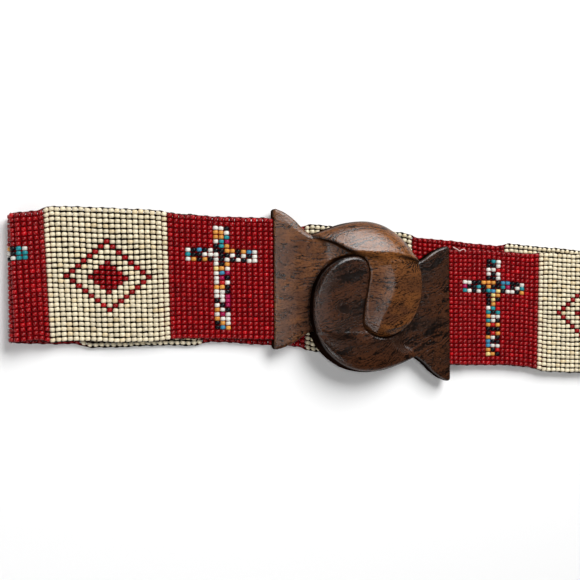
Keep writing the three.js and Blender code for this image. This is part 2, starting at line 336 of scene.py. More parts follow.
class SharedEffects:
    """Node groups that more than one finish uses, each built once."""

    def __init__(self) -> None:
        """Builds the groups."""
        self.bead_glaze = self._bead_glaze()
        self.wood_grain = self._wood_grain()
        self.fine_wear = self._fine_wear()
        self.twisted_yarn = self._twisted_yarn()

    def _bead_glaze(self) -> bpy.types.NodeTree:
        """Returns the group that varies glass from bead to bead.

        Each bead carries its own chance value in the attribute tint.
        """
        tree, desk, given, result = make_group(
            "Bead Glaze",
            [("Glass", COLOR, (0.5, 0.5, 0.5, 1)), ("Odd Glass", COLOR, (0.6, 0.6, 0.6, 1)),
             ("Odd Share", FLOAT, 0.2), ("Spread", FLOAT, 0.15), ("Gloss", FLOAT, 0.2),
             ("Grain", FLOAT, 2500.0)],
            [("Color", COLOR), ("Roughness", FLOAT), ("Height", FLOAT)],
        )
        tint = desk.add("ShaderNodeAttribute", -5, attribute_name="tint").outputs["Fac"]
        second = desk.math("FRACT", desk.math("MULTIPLY", tint, 17.31))
        odd = desk.remap(tint, desk.math("SUBTRACT", 1.0, given["Odd Share"]), 1.0)
        base = desk.blend(odd, given["Glass"], given["Odd Glass"])
        level = desk.math("ADD", 1.0, desk.math(
            "MULTIPLY", desk.math("SUBTRACT", second, 0.5), given["Spread"]))
        shade = desk.add("ShaderNodeCombineColor")
        for channel in ("Red", "Green", "Blue"):
            desk.put(shade, channel, level)
        where = desk.add("ShaderNodeTexCoord").outputs["Object"]
        skin = desk.noise(where, given["Grain"], 2.0)
        desk.put(result, "Color", desk.blend(1.0, base, shade.outputs[0], "MULTIPLY"))
        desk.put(result, "Roughness", desk.math("ADD", given["Gloss"], desk.math(
            "MULTIPLY", desk.math("SUBTRACT", skin, 0.4), 0.25)))
        desk.put(result, "Height", skin)
        return tree

    def _wood_grain(self) -> bpy.types.NodeTree:
        """Returns the group that draws close wood grain, with an eye or knot and a warm zone in it.

        The growth rings lie nearly level, so they show as contour lines where the form is carved. The
        attribute for the carved lines, near 1 along the seam and the sharp step, darkens them with painted
        crease shade and dark wax; the attribute for upright walls, 1 on them, darkens them with painted
        shade and some darker end grain, and leaves them unwaxed.
        """
        tree, desk, given, result = make_group(
            "Wood Grain",
            [("Dark", COLOR, (0.01, 0.005, 0.003, 1)), ("Middle", COLOR, (0.06, 0.025, 0.012, 1)),
             ("Light", COLOR, (0.2, 0.08, 0.03, 1)), ("Line Pitch", FLOAT, 0.0012),
             ("Bend", FLOAT, 0.005), ("Eye Place", VECTOR, (0.0, 0.0, 0.0)), ("Eye Size", FLOAT, 0.006),
             ("Eye Rings", FLOAT, 4.0), ("Eye Dark", FLOAT, 0.0), ("Glow Place", VECTOR, (0.0, 0.0, 0.0)),
             ("Glow Size", FLOAT, 0.02), ("Glow", FLOAT, 0.5), ("Seed", VECTOR, (0.0, 0.0, 0.0)),
             ("Warmth", FLOAT, 0.5), ("Flame", FLOAT, 0.5), ("Turn", FLOAT, 0.0)],
            [("Color", COLOR), ("Roughness", FLOAT), ("Height", FLOAT), ("Wax", FLOAT)],
        )
        where = desk.add("ShaderNodeTexCoord").outputs["Object"]
        turned = desk.add("ShaderNodeVectorRotate", -4, rotation_type="Z_AXIS")
        desk.put(turned, "Vector", desk.vector("ADD", where, given["Seed"]))
        desk.put(turned, "Angle", given["Turn"])
        own = turned.outputs[0]
        parts = desk.add("ShaderNodeSeparateXYZ")
        desk.put(parts, 0, own)

        def centred(layer: GrainLayer) -> bpy.types.NodeSocket:
            """Adds a layer's noise, about nothing."""
            drawn_out = desk.vector("MULTIPLY", own, layer.stretch)
            return desk.math("SUBTRACT", desk.noise(drawn_out, layer.scale, layer.detail), 0.5)

        def spanned(layer: GrainLayer, least: float = 0.0) -> bpy.types.NodeSocket:
            """Adds a layer's noise, from its least at the low end of its span to 1 at the high end."""
            return desk.remap(centred(layer), layer.low, layer.high, least, 1.0)

        def nearness(place: object, stretch: tuple[float, float, float], size: object) -> tuple:
            """Returns how near a place is, 1 at it, and the distance."""
            beside = desk.vector("SUBTRACT", where, place)
            away = desk.vector("LENGTH", desk.vector("MULTIPLY", beside, stretch))
            share = desk.math("DIVIDE", away, size)
            squared = desk.math("MULTIPLY", share, share)
            return desk.math("EXPONENT", desk.math("MULTIPLY", squared, -1.0)), away

        eye, away = nearness(given["Eye Place"], (0.75, 1.0, 0.4), given["Eye Size"])
        glow, _ = nearness(given["Glow Place"], (0.55, 1.0, 1.0), given["Glow Size"])
        level = desk.weigh((parts.outputs["Y"], 0.4), (parts.outputs["Z"], 1.3))
        drift = desk.math("ADD", centred(DRIFT), desk.math("MULTIPLY", centred(FINE_DRIFT), 0.28))
        bent = desk.math("ADD", level, desk.math("MULTIPLY", drift, given["Bend"]))
        rings = desk.math("DIVIDE", bent, given["Line Pitch"])
        rings = desk.math("ADD", rings, desk.math("MULTIPLY", eye, given["Eye Rings"]))
        line = desk.math("ABSOLUTE", desk.math(
            "SUBTRACT", desk.math("MULTIPLY", desk.math("FRACT", rings), 2.0), 1.0))
        line = desk.math("MULTIPLY", desk.math("POWER", line, 2.6), spanned(FIRMNESS, 0.3))
        streaks, speckle, pores = spanned(STREAKS), spanned(SPECKLE), spanned(PORES)
        flames = desk.math("MULTIPLY", spanned(FLAMES), given["Flame"])
        grit = desk.math("SUBTRACT", speckle, 0.5)
        tone = desk.weigh((line, 1.25), (streaks, 0.36), (grit, 0.75))
        tone = desk.math("ADD", desk.math("SUBTRACT", tone, 0.12), flames, clamp=True)
        warm = desk.math("MAXIMUM", desk.math("MULTIPLY", spanned(PATCHES), given["Warmth"]),
                         desk.math("MULTIPLY", glow, given["Glow"]))
        ground = desk.blend(warm, given["Middle"], given["Light"])
        body = desk.blend(tone, ground, given["Dark"])
        body = desk.blend(desk.math("MULTIPLY", pores, 0.6), body, given["Dark"])
        knot = desk.remap(away, desk.math("MULTIPLY", given["Eye Size"], 0.9), 0.0)
        body = desk.blend(desk.math("MULTIPLY", knot, given["Eye Dark"]), body, given["Dark"])
        # Painted crease shade, with dark wax: near 1 along the seam and the sharp part of the step.
        crease_shade = desk.add("ShaderNodeAttribute", 1, attribute_name="crease_shade").outputs["Fac"]
        # Painted shade on upright walls, with some darker end grain; the same mark takes their wax away.
        side = desk.add("ShaderNodeAttribute", 1, attribute_name="side").outputs["Fac"]
        # Both marks blend the colour towards Dark: painted shade, with dark wax in the creases.
        hidden = desk.math("MULTIPLY", desk.math("MAXIMUM", crease_shade, side), 0.85)
        desk.put(result, "Color", desk.blend(hidden, body, given["Dark"]))
        rough = desk.weigh((tone, 0.1), (side, 0.35), (pores, 0.2))
        desk.put(result, "Roughness", desk.math("ADD", rough, 0.25))
        desk.put(result, "Wax", desk.math("SUBTRACT", 1.0, side))
        sunk = desk.weigh((streaks, 0.5), (line, 0.5), (speckle, 0.5), (pores, 0.3))
        desk.put(result, "Height", desk.math("SUBTRACT", 1.0, sunk))
        return tree

    def _fine_wear(self) -> bpy.types.NodeTree:
        """Returns the group of rubbed patches and fine speckle that handling leaves on a surface."""
        tree, desk, given, result = make_group(
            "Fine Wear",
            [("Amount", FLOAT, 0.5), ("Patch Scale", FLOAT, 60.0), ("Speckle Scale", FLOAT, 1800.0)],
            [("Rub", FLOAT), ("Speckle", FLOAT)],
        )
        where = desk.add("ShaderNodeTexCoord").outputs["Object"]
        patch = desk.remap(desk.noise(where, given["Patch Scale"], 4.0, 0.6), 0.4, 0.7)
        desk.put(result, "Rub", desk.math("MULTIPLY", patch, given["Amount"]))
        speckle = desk.noise(where, given["Speckle Scale"], 2.0, 0.7)
        desk.put(result, "Speckle", desk.remap(speckle, 0.35, 0.7))
        return tree

    def _twisted_yarn(self) -> bpy.types.NodeTree:
        """Returns the group that twists plies along a cord, read from the object's own coordinates."""
        tree, desk, given, result = make_group(
            "Twisted Yarn",
            [("Turns", FLOAT, 1.0), ("Plies", FLOAT, 3.0), ("Fuzz Scale", FLOAT, 4000.0)],
            [("Shade", FLOAT), ("Height", FLOAT)],
        )
        where = desk.add("ShaderNodeTexCoord").outputs["Object"]
        parts = desk.add("ShaderNodeSeparateXYZ")
        desk.put(parts, 0, where)
        along = desk.math("ADD", parts.outputs["X"], parts.outputs["Y"])
        along = desk.math("MULTIPLY", along, given["Turns"])
        around = desk.math("MULTIPLY", parts.outputs["Z"], desk.math("MULTIPLY", given["Turns"], 0.7))
        wave = desk.math("SINE", desk.math("MULTIPLY", desk.math("ADD", along, around), given["Plies"]))
        fuzz = desk.noise(where, given["Fuzz Scale"], 2.0, 0.6)
        desk.put(result, "Height", desk.math("ADD", wave, desk.math("MULTIPLY", fuzz, 0.6)))
        desk.put(result, "Shade", desk.math("ADD", 0.75, desk.math("MULTIPLY", fuzz, 0.5)))
        return tree


# Finishes

def new_material(name: str) -> tuple[bpy.types.Material, NodeDesk, bpy.types.Node]:
    """Starts a material with a Principled shader.

    Args:
        name: Name of the finish.

    Returns:
        The material, a desk for its tree, and the shader.
    """
    material = bpy.data.materials.new(name)
    material.use_nodes = True
    desk = NodeDesk(material.node_tree)
    shader = desk.add("ShaderNodeBsdfPrincipled", 10)
    output = desk.add("ShaderNodeOutputMaterial", 12)
    desk.put(output, "Surface", shader.outputs[0])
    return material, desk, shader


def use_group(desk: NodeDesk, group: bpy.types.NodeTree, values: dict[str, object]) -> bpy.types.Node:
    """Places a shared effect in a material with its own values."""
    node = desk.add("ShaderNodeGroup", 3)
    node.node_tree = group
    for name, value in values.items():
        node.inputs[name].default_value = value
    return node


def bump(desk: NodeDesk, shader: bpy.types.Node, height: bpy.types.NodeSocket, distance: float,
         strength: float = 1.0, also: str = "") -> None:
    """Feeds a height into a shader's normal, and into one more of its normals if that is named."""
    node = desk.add("ShaderNodeBump", 8, 3)
    desk.put(node, "Height", height)
    desk.put(node, "Distance", distance)
    desk.put(node, "Strength", strength)
    desk.put(shader, "Normal", node.outputs[0])
    if also:
        desk.put(shader, also, node.outputs[0])


@dataclass(frozen=True)
class BeadGlass:
    """Glass of one kind of seed bead."""

    name: str
    glass: tuple[float, float, float]
    odd_glass: tuple[float, float, float]
    odd_share: float = 0.2
    spread: float = 0.3
    gloss: float = 0.2
    shine: float = 0.4
    bend_of_light: float = 1.52
    relief: float = 0.02 * MM
    by_bead: bool = False

    def material(self, effects: SharedEffects) -> bpy.types.Material:
        """Builds the material.

        Args:
            effects: The shared node groups.

        Returns:
            A glossy glass that changes a little from bead to bead.
        """
        material, desk, shader = new_material(self.name)
        glaze = use_group(desk, effects.bead_glaze, {
            "Glass": (*self.glass, 1), "Odd Glass": (*self.odd_glass, 1), "Odd Share": self.odd_share,
            "Spread": self.spread, "Gloss": self.gloss,
        })
        if self.by_bead:
            own = desk.add("ShaderNodeAttribute", 1, attribute_name="glaze").outputs["Color"]
            desk.put(glaze, "Glass", own)
            desk.put(glaze, "Odd Glass", own)
        desk.put(shader, "Base Color", glaze.outputs["Color"])
        desk.put(shader, "Roughness", glaze.outputs["Roughness"])
        desk.put(shader, "IOR", self.bend_of_light)
        desk.put(shader, "Specular IOR Level", self.shine)
        bump(desk, shader, glaze.outputs["Height"], self.relief)
        return material


@dataclass(frozen=True)
class CarvedWood:
    """Close-grained wood of one hook, carved, rubbed and waxed."""

    name: str
    dark: tuple[float, float, float]
    middle: tuple[float, float, float]
    light: tuple[float, float, float]
    eye_place: tuple[float, float, float]
    eye_size: float
    eye_rings: float
    eye_dark: float
    glow_place: tuple[float, float, float]
    glow_size: float
    glow: float
    seed: tuple[float, float, float]
    warmth: float = 0.6
    flame: float = 0.5
    turn: float = 0.0
    line_pitch: float = 1.15 * MM
    bend: float = 14 * MM
    coat: float = 0.85
    coat_roughness: float = 0.2
    bend_of_light: float = 1.5
    rubbing: float = 0.12
    speckle_roughness: float = 0.08
    speckle_height: float = 0.6
    relief: float = 0.042 * MM

    def material(self, effects: SharedEffects) -> bpy.types.Material:
        """Builds the material.

        Args:
            effects: The shared node groups.

        Returns:
            Grained wood with a soft waxed gloss.
        """
        material, desk, shader = new_material(self.name)
        grain = use_group(desk, effects.wood_grain, {
            "Dark": (*self.dark, 1), "Middle": (*self.middle, 1), "Light": (*self.light, 1),
            "Line Pitch": self.line_pitch, "Eye Place": self.eye_place, "Eye Size": self.eye_size,
            "Eye Rings": self.eye_rings, "Eye Dark": self.eye_dark, "Glow Place": self.glow_place,
            "Glow Size": self.glow_size, "Glow": self.glow, "Seed": self.seed, "Warmth": self.warmth,
            "Flame": self.flame, "Turn": self.turn, "Bend": self.bend,
        })
        wear = use_group(desk, effects.fine_wear, {"Amount": self.rubbing})
        desk.put(shader, "Base Color", grain.outputs["Color"])
        rough = desk.math("SUBTRACT", grain.outputs["Roughness"], wear.outputs["Rub"])
        rough = desk.math("ADD", rough, desk.math(
            "MULTIPLY", wear.outputs["Speckle"], self.speckle_roughness))
        desk.put(shader, "Roughness", rough)
        desk.put(shader, "IOR", self.bend_of_light)
        desk.put(shader, "Specular IOR Level", 0.0)
        desk.put(shader, "Coat Weight", desk.math("MULTIPLY", grain.outputs["Wax"], self.coat))
        desk.put(shader, "Coat Roughness", self.coat_roughness)
        height = desk.math("ADD", grain.outputs["Height"],
                           desk.math("MULTIPLY", wear.outputs["Speckle"], self.speckle_height))
        bump(desk, shader, height, self.relief, also="Coat Normal")
        return material


@dataclass(frozen=True)
class Yarn:
    """Cord, elastic or thread; where the attribute lit is 1 it takes the light of the glass beside it."""

    name: str
    colour: tuple[float, float, float]
    roughness: float
    turns: float = 3000.0
    sheen: float = 0.2
    shine: float = 0.3
    relief: float = 0.03 * MM
    lit_colour: tuple[float, float, float] | None = None

    def material(self, effects: SharedEffects) -> bpy.types.Material:
        """Builds the material.

        Args:
            effects: The shared node groups.

        Returns:
            A twisted yarn.
        """
        material, desk, shader = new_material(self.name)
        yarn = use_group(desk, effects.twisted_yarn, {"Turns": self.turns})
        shade = desk.add("ShaderNodeCombineColor", 5)
        for channel in ("Red", "Green", "Blue"):
            desk.put(shade, channel, yarn.outputs["Shade"])
        ground = (*self.colour, 1)
        if self.lit_colour:
            lit = desk.add("ShaderNodeAttribute", 4, attribute_name="lit").outputs["Fac"]
            ground = desk.blend(lit, ground, (*self.lit_colour, 1))
        desk.put(shader, "Base Color", desk.blend(1.0, ground, shade.outputs[0], "MULTIPLY"))
        desk.put(shader, "Roughness", self.roughness)
        desk.put(shader, "Sheen Weight", self.sheen)
        desk.put(shader, "Specular IOR Level", self.shine)
        bump(desk, shader, yarn.outputs["Height"], self.relief)
        return material


# Meshes

def new_object(name: str, mesh: bpy.types.Mesh) -> bpy.types.Object:
    """Puts a mesh in the scene as an object at the origin."""
    made = bpy.data.objects.new(name, mesh)
    bpy.context.scene.collection.objects.link(made)
    return made


def mesh_from(name: str, points: np.ndarray, faces: np.ndarray | list = ()) -> bpy.types.Mesh:
    """Makes a smooth mesh from points and faces."""
    mesh = bpy.data.meshes.new(name)
    mesh.from_pydata(np.asarray(points).tolist(), [], [list(face) for face in faces])
    mesh.shade_smooth()
    mesh.update()
    return mesh


def bake_nodes(name: str, carrier: bpy.types.Object, tree: bpy.types.NodeTree,
               values: dict[str, object]) -> bpy.types.Object:
    """Runs a Geometry Nodes tree on a carrier and keeps the result as a plain mesh.

    Args:
        name: Name of the finished piece.
        carrier: The object that the tree reads; it is removed afterwards.
        tree: The tree.
        values: Value of each named input.

    Returns:
        The finished piece, without a modifier.
    """
    modifier = carrier.modifiers.new("pattern", "NODES")
    modifier.node_group = tree
    sockets = {item.name: item.identifier for item in tree.interface.items_tree
               if item.item_type == "SOCKET" and item.in_out == "INPUT"}
    for label, value in values.items():
        modifier[sockets[label]] = value
    bpy.context.view_layer.update()
    shown = carrier.evaluated_get(bpy.context.evaluated_depsgraph_get())
    mesh = bpy.data.meshes.new_from_object(shown)
    mesh.name = name
    carrier.modifiers.remove(modifier)
    bpy.data.objects.remove(carrier)
    return new_object(name, mesh)


def hand_over(piece: bpy.types.Object, slot: str, *nodes: str) -> bpy.types.Object:
    """Lets a finished piece ride on the belt and stand for nodes, which it hides."""
    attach(piece, "root")
    if nodes:
        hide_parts(*nodes)
    log.info("%s: %d faces", piece.name, len(piece.data.polygons))
    return piece


# Band

class Panel(Enum):
    """The two kinds of panel that take turns round the belt."""

    RED = "red"
    CREAM = "cream"


class Glaze(Enum):
    """Bright opaque glazes of the beads in the crosses, as linear colours, by their chart letter."""

    W = (0.70, 0.67, 0.61)
    K = (0.004, 0.004, 0.006)
    O = (0.66, 0.28, 0.055)
    T = (0.018, 0.23, 0.26)
    B = (0.05, 0.23, 0.38)
    P = (0.34, 0.008, 0.065)
    R = (0.44, 0.012, 0.012)
    Y = (0.72, 0.56, 0.22)


@dataclass(frozen=True)
class Weave:
    """Sizes of the loom weave."""

    column_pitch: float = 3.07 * MM
    red_row_pitch: float = 2.43 * MM
    cream_row_pitch: float = 2.59 * MM
    row_count: int = 27
    red_columns: int = 19
    cream_columns: int = 21
    red_panels: int = 6
    cream_panels: int = 5
    bead_diameter: float = 2.98 * MM
    red_bead_length: float = 2.26 * MM
    cream_bead_length: float = 2.18 * MM
    bore: float = 0.85 * MM
    panel_blends: tuple[float, ...] = (
        17 * MM, 8 * MM, 10 * MM, 10 * MM, 10 * MM, 10 * MM, 10 * MM, 10 * MM, 10 * MM, 16 * MM)

    @property
    def panels(self) -> list[Panel]:
        """Panels in the order of travel from the left hook round to the right one."""
        kinds = [Panel.RED, Panel.CREAM] * self.cream_panels
        return [*kinds, Panel.RED]

    def columns(self, panel: Panel) -> int:
        """Number of bead columns in a panel."""
        return self.red_columns if panel is Panel.RED else self.cream_columns

    @property
    def column_total(self) -> int:
        """Number of bead columns round the belt."""
        return sum(self.columns(panel) for panel in self.panels)


@dataclass(frozen=True)
class BandPath:
    """The way the band takes: down from a plate, to a fold, along the back, and to the other plate.

    The side view gives place and height for a travel from the left plate's edge; the tables give the
    sideways place and the width.
    """

    weave: Weave
    plate_reach: float
    plate_offset: float
    fold_radius: float
    fold_middle: float
    thickness: float = 3 * MM
    layer_gap: float = 0.3 * MM
    plate_end_thickness: float = 6 * MM
    fold_climb: float = 26 * MM
    settle_length: float = 20 * MM
    slot_depth: float = 3.7 * MM
    aside_places: tuple[float, ...] = (
        0, .05, .08, .1, .12, .14, .156, .177, .192, .215, .27, .36, .44, .55, .65, .73, .79, .84, .88, .9,
        .913, .93, .95, .97, 1)
    aside_shares: tuple[float, ...] = (
        1.0, 1.1, 1.18, 1.21, 1.23, 1.28, 1.32, 1.3, 1.22, 1.1, .98, .98, .6, .04, -.55, -.98, -1.12, -1.14,
        -1.1, -1.02, -.96, -.84, -.74, -.69, -.63)
    pull_places: tuple[float, ...] = (0, .1, .19, .3, .6, .82, .9, 1)
    pull_shifts: tuple[float, ...] = (-1.1, -1.25, -1.1, -.2, 0, 0, 0, 0)
    slack_rows: tuple[float, ...] = (0, 6, 12, 16, 20, 26)
    slack_shifts: tuple[float, ...] = (-.1, -.6, -1.6, -1.2, -.2, 0)
    slack_middle: float = 92 * MM
    slack_reach: float = 26 * MM
    lean_places: tuple[float, ...] = (0, .087, .183, .215, .3, .5, .8, .913, 1)
    lean_slopes: tuple[float, ...] = (.006, .023, .054, .038, 0, 0, 0, -.028, -.004)
    curve_points: int = 60
    slope_reach: float = 0.8 * MM
    line: np.ndarray = field(init=False)
    travel: np.ndarray = field(init=False)

    def __post_init__(self) -> None:
        """Draws the side view once."""
        line = self._side_view()
        steps = np.hypot(*np.diff(line, axis=0).T)
        travel = np.concatenate([[0], np.cumsum(steps)]) - self.slot_depth
        object.__setattr__(self, "line", line)
        object.__setattr__(self, "travel", travel)

    @classmethod
    def from_frame(cls, weave: Weave) -> "BandPath":
        """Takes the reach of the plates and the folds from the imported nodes."""
        band_low, band_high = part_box(BAND_NODE)
        hook_low, hook_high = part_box(LEFT_HOOK_NODE)
        fold_radius = (band_high.z - band_low.z - cls.thickness) / 2
        return cls(
            weave=weave,
            plate_reach=-hook_low.x,
            plate_offset=(hook_high.y + hook_low.y) / 2,
            fold_radius=fold_radius,
            fold_middle=band_high.x - fold_radius - cls.thickness / 2,
        )

    @property
    def plate_level(self) -> float:
        """Height of the band's middle line in the slots of the plates."""
        return self.thickness + self.layer_gap + self.plate_end_thickness / 2

    def _level_change(self, start: tuple[float, float], end: tuple[float, float]) -> np.ndarray:
        """Returns an easy change of level between two places of the side view."""
        t = np.linspace(0, 1, self.curve_points)[:, None]
        middle = (start[0] + end[0]) / 2
        corners = [np.array(p) for p in (start, (middle, start[1]), (middle, end[1]), end)]
        weights = ((1 - t) ** 3, 3 * t * (1 - t) ** 2, 3 * t * t * (1 - t), t**3)
        return sum(weight * corner for weight, corner in zip(weights, corners))

    def _side_view(self) -> np.ndarray:
        """Returns the points of the middle line, x and z, from slot to slot."""
        back = self.thickness / 2
        front = back + self.thickness + self.layer_gap
        fold_level = back + self.fold_radius
        top = fold_level + self.fold_radius
        settled = self.plate_reach + self.settle_length
        climb = self.fold_middle - self.fold_climb
        seat = self.plate_reach - self.slot_depth
        down = self._level_change((self.plate_reach, self.plate_level), (settled, front))
        up = self._level_change((climb, front), (self.fold_middle, top))
        turn = np.linspace(math.pi / 2, -math.pi / 2, self.curve_points)[:, None]
        fold = np.hstack([self.fold_middle + self.fold_radius * np.cos(turn),
                          fold_level + self.fold_radius * np.sin(turn)])
        half = np.vstack([[[seat, self.plate_level]], down, up, fold, [[0, back]]])
        left = half * (-1, 1)
        return self._without_doubles(np.vstack([left, half[::-1]]))

    @staticmethod
    def _without_doubles(line: np.ndarray) -> np.ndarray:
        """Drops points that stand where the last one does."""
        apart = np.hypot(*np.diff(line, axis=0).T) > 1e-7
        return line[np.concatenate([[True], apart])]

    @property
    def bead_travel(self) -> float:
        """Travel from the left plate's edge to the right one's."""
        return float(self.travel[-1]) - self.slot_depth

    def place(self, travel: np.ndarray) -> tuple[np.ndarray, np.ndarray]:
        """Returns x and z of the middle line at a travel."""
        return (np.interp(travel, self.travel, self.line[:, 0]),
                np.interp(travel, self.travel, self.line[:, 1]))

    def slope(self, travel: np.ndarray) -> np.ndarray:
        """Returns the angle of the middle line in the side view, 0 along +X."""
        x0, z0 = self.place(travel - self.slope_reach)
        x1, z1 = self.place(travel + self.slope_reach)
        return np.arctan2(z1 - z0, x1 - x0)

    def aside(self, travel: np.ndarray) -> np.ndarray:
        """Returns the sideways place of the band's middle at a travel."""
        share = np.clip(travel / self.bead_travel, 0, 1)
        return self.plate_offset * table_value(self.aside_places, self.aside_shares, share)

    def lean(self, travel: np.ndarray) -> np.ndarray:
        """Returns how far a column leans forwards, per length across the band, at a travel."""
        share = np.clip(travel / self.bead_travel, 0, 1)
        return table_value(self.lean_places, self.lean_slopes, share)

    def pull(self, travel: np.ndarray) -> np.ndarray:
        """Returns how far a column is pulled along from its even place."""
        share = np.clip(travel / self.bead_travel, 0, 1)
        return table_value(self.pull_places, self.pull_shifts, share) * MM

    def slack(self, travel: np.ndarray, row: np.ndarray) -> np.ndarray:
        """Returns how far a row hangs sideways where the weave of the first cream panel is slack."""
        away = (travel - self.slack_middle) / self.slack_reach
        return table_value(self.slack_rows, self.slack_shifts, row) * MM * np.exp(-away**2)

    def row_pitch(self, travel: np.ndarray) -> np.ndarray:
        """Returns the distance from row to row: the cream panels are a little wider."""
        weave = self.weave
        scale = self.bead_travel / weave.column_total
        width = np.full(np.shape(travel), weave.red_row_pitch)
        change = weave.cream_row_pitch - weave.red_row_pitch
        passed = 0
        for number, (panel, blend) in enumerate(zip(weave.panels, weave.panel_blends)):
            passed += weave.columns(panel)
            turn = smoothstep(travel - passed * scale, -blend / 2, blend / 2)
            width = width + (change if number % 2 == 0 else -change) * turn
        return width


@dataclass(frozen=True)
class Charts:
    """Charts of the motifs: rows from the top, columns from left to right as worn.

    A red panel has a cross: a stem of three columns and a bar of three rows. A cream panel has a lozenge
    line round a filled lozenge. Letters are the glazes; a cross with no chart is filled by chance.
    """

    stem_columns: tuple[int, int] = (8, 11)
    stem_rows: tuple[int, int] = (2, 25)
    bar_columns: tuple[int, int] = (3, 16)
    bar_rows: tuple[int, int] = (7, 10)
    lozenge_line: int = 7
    lozenge_fill: int = 3
    last_lozenge_shift: int = 1
    first_stem: str = ("WWK OOW OOT WTP KTO KKO WKK WKW WKO YOW WBP WPK WRW OOK WWK WWP KWP WKP OWK WPW OWW "
                       "KOW KBO")
    first_bar: str = "WKBKW...OKOBW TKKWW...WKWKW WOKOK...KWKWW"
    last_stem: str = ("KTW KKW WWR WKW KKW OOK OKK TBY KYO KYK KOR WTR TKT OWW TWK ORO KKK KRO OWK BKK BWW "
                      "OKR YOK")
    last_bar: str = "WWKKO...BBKKW PKKTK...TPKWT TWKWK...KWWKO"
    fold_bar: str = "............OKTW ............WKTT ............KWTT"
    chance_letters: str = "WWWWKKKKOOOTTBPRY"

    def lozenge(self, column: int, row: int, columns: int, rows: int, last: bool) -> bool:
        """Tells whether a bead of a cream panel is one of the red ones; the last lozenge is off centre."""
        middle = columns // 2 + (self.last_lozenge_shift if last else 0)
        away = abs(column - middle) + abs(row - rows // 2)
        return away == self.lozenge_line or away <= self.lozenge_fill

    def in_cross(self, column: int, row: int) -> bool:
        """Tells whether a bead of a red panel belongs to its cross."""
        stem = self.stem_columns[0] <= column < self.stem_columns[1]
        bar = self.bar_columns[0] <= column < self.bar_columns[1]
        return (stem and self.stem_rows[0] <= row < self.stem_rows[1]) or (
            bar and self.bar_rows[0] <= row < self.bar_rows[1])

    def letter(self, panel: int, last: int, column: int, row: int, chance: np.random.Generator) -> str:
        """Reads the chart of a cross.

        Args:
            panel: Number of the red panel in the order of travel.
            last: Number of the last red panel.
            column: Column, from the left as worn.
            row: Row, from the top.
            chance: Source of the beads that no chart gives.

        Returns:
            The letter of the bead's glaze.
        """
        drawn = str(chance.choice(list(self.chance_letters)))
        stem, bar = {0: (self.first_stem, self.first_bar), last: (self.last_stem, self.last_bar),
                     1: ("", self.fold_bar)}.get(panel, ("", ""))
        in_stem = self.stem_columns[0] <= column < self.stem_columns[1]
        if in_stem and stem:
            return stem.split()[row - self.stem_rows[0]][column - self.stem_columns[0]]
        if self.bar_rows[0] <= row < self.bar_rows[1] and bar:
            cells = bar.split()[row - self.bar_rows[0]]
            place = column if len(cells) > self.bar_columns[1] - self.bar_columns[0] else (
                column - self.bar_columns[0])
            found = cells[place] if 0 <= place < len(cells) else "."
            return drawn if found == "." else found
        return drawn


@dataclass
class BeadSet:
    """Places of the beads of one piece, gathered bead by bead."""

    name: str
    slot: str
    finish: str
    length: float
    travel: list[float] = field(default_factory=list)
    row: list[float] = field(default_factory=list)
    glaze: list[tuple[float, float, float]] = field(default_factory=list)

    def add(self, travel: float, row: int, glaze: tuple[float, float, float] = (1, 1, 1)) -> None:
        """Adds one bead."""
        self.travel.append(travel)
        self.row.append(row)
        self.glaze.append(glaze)


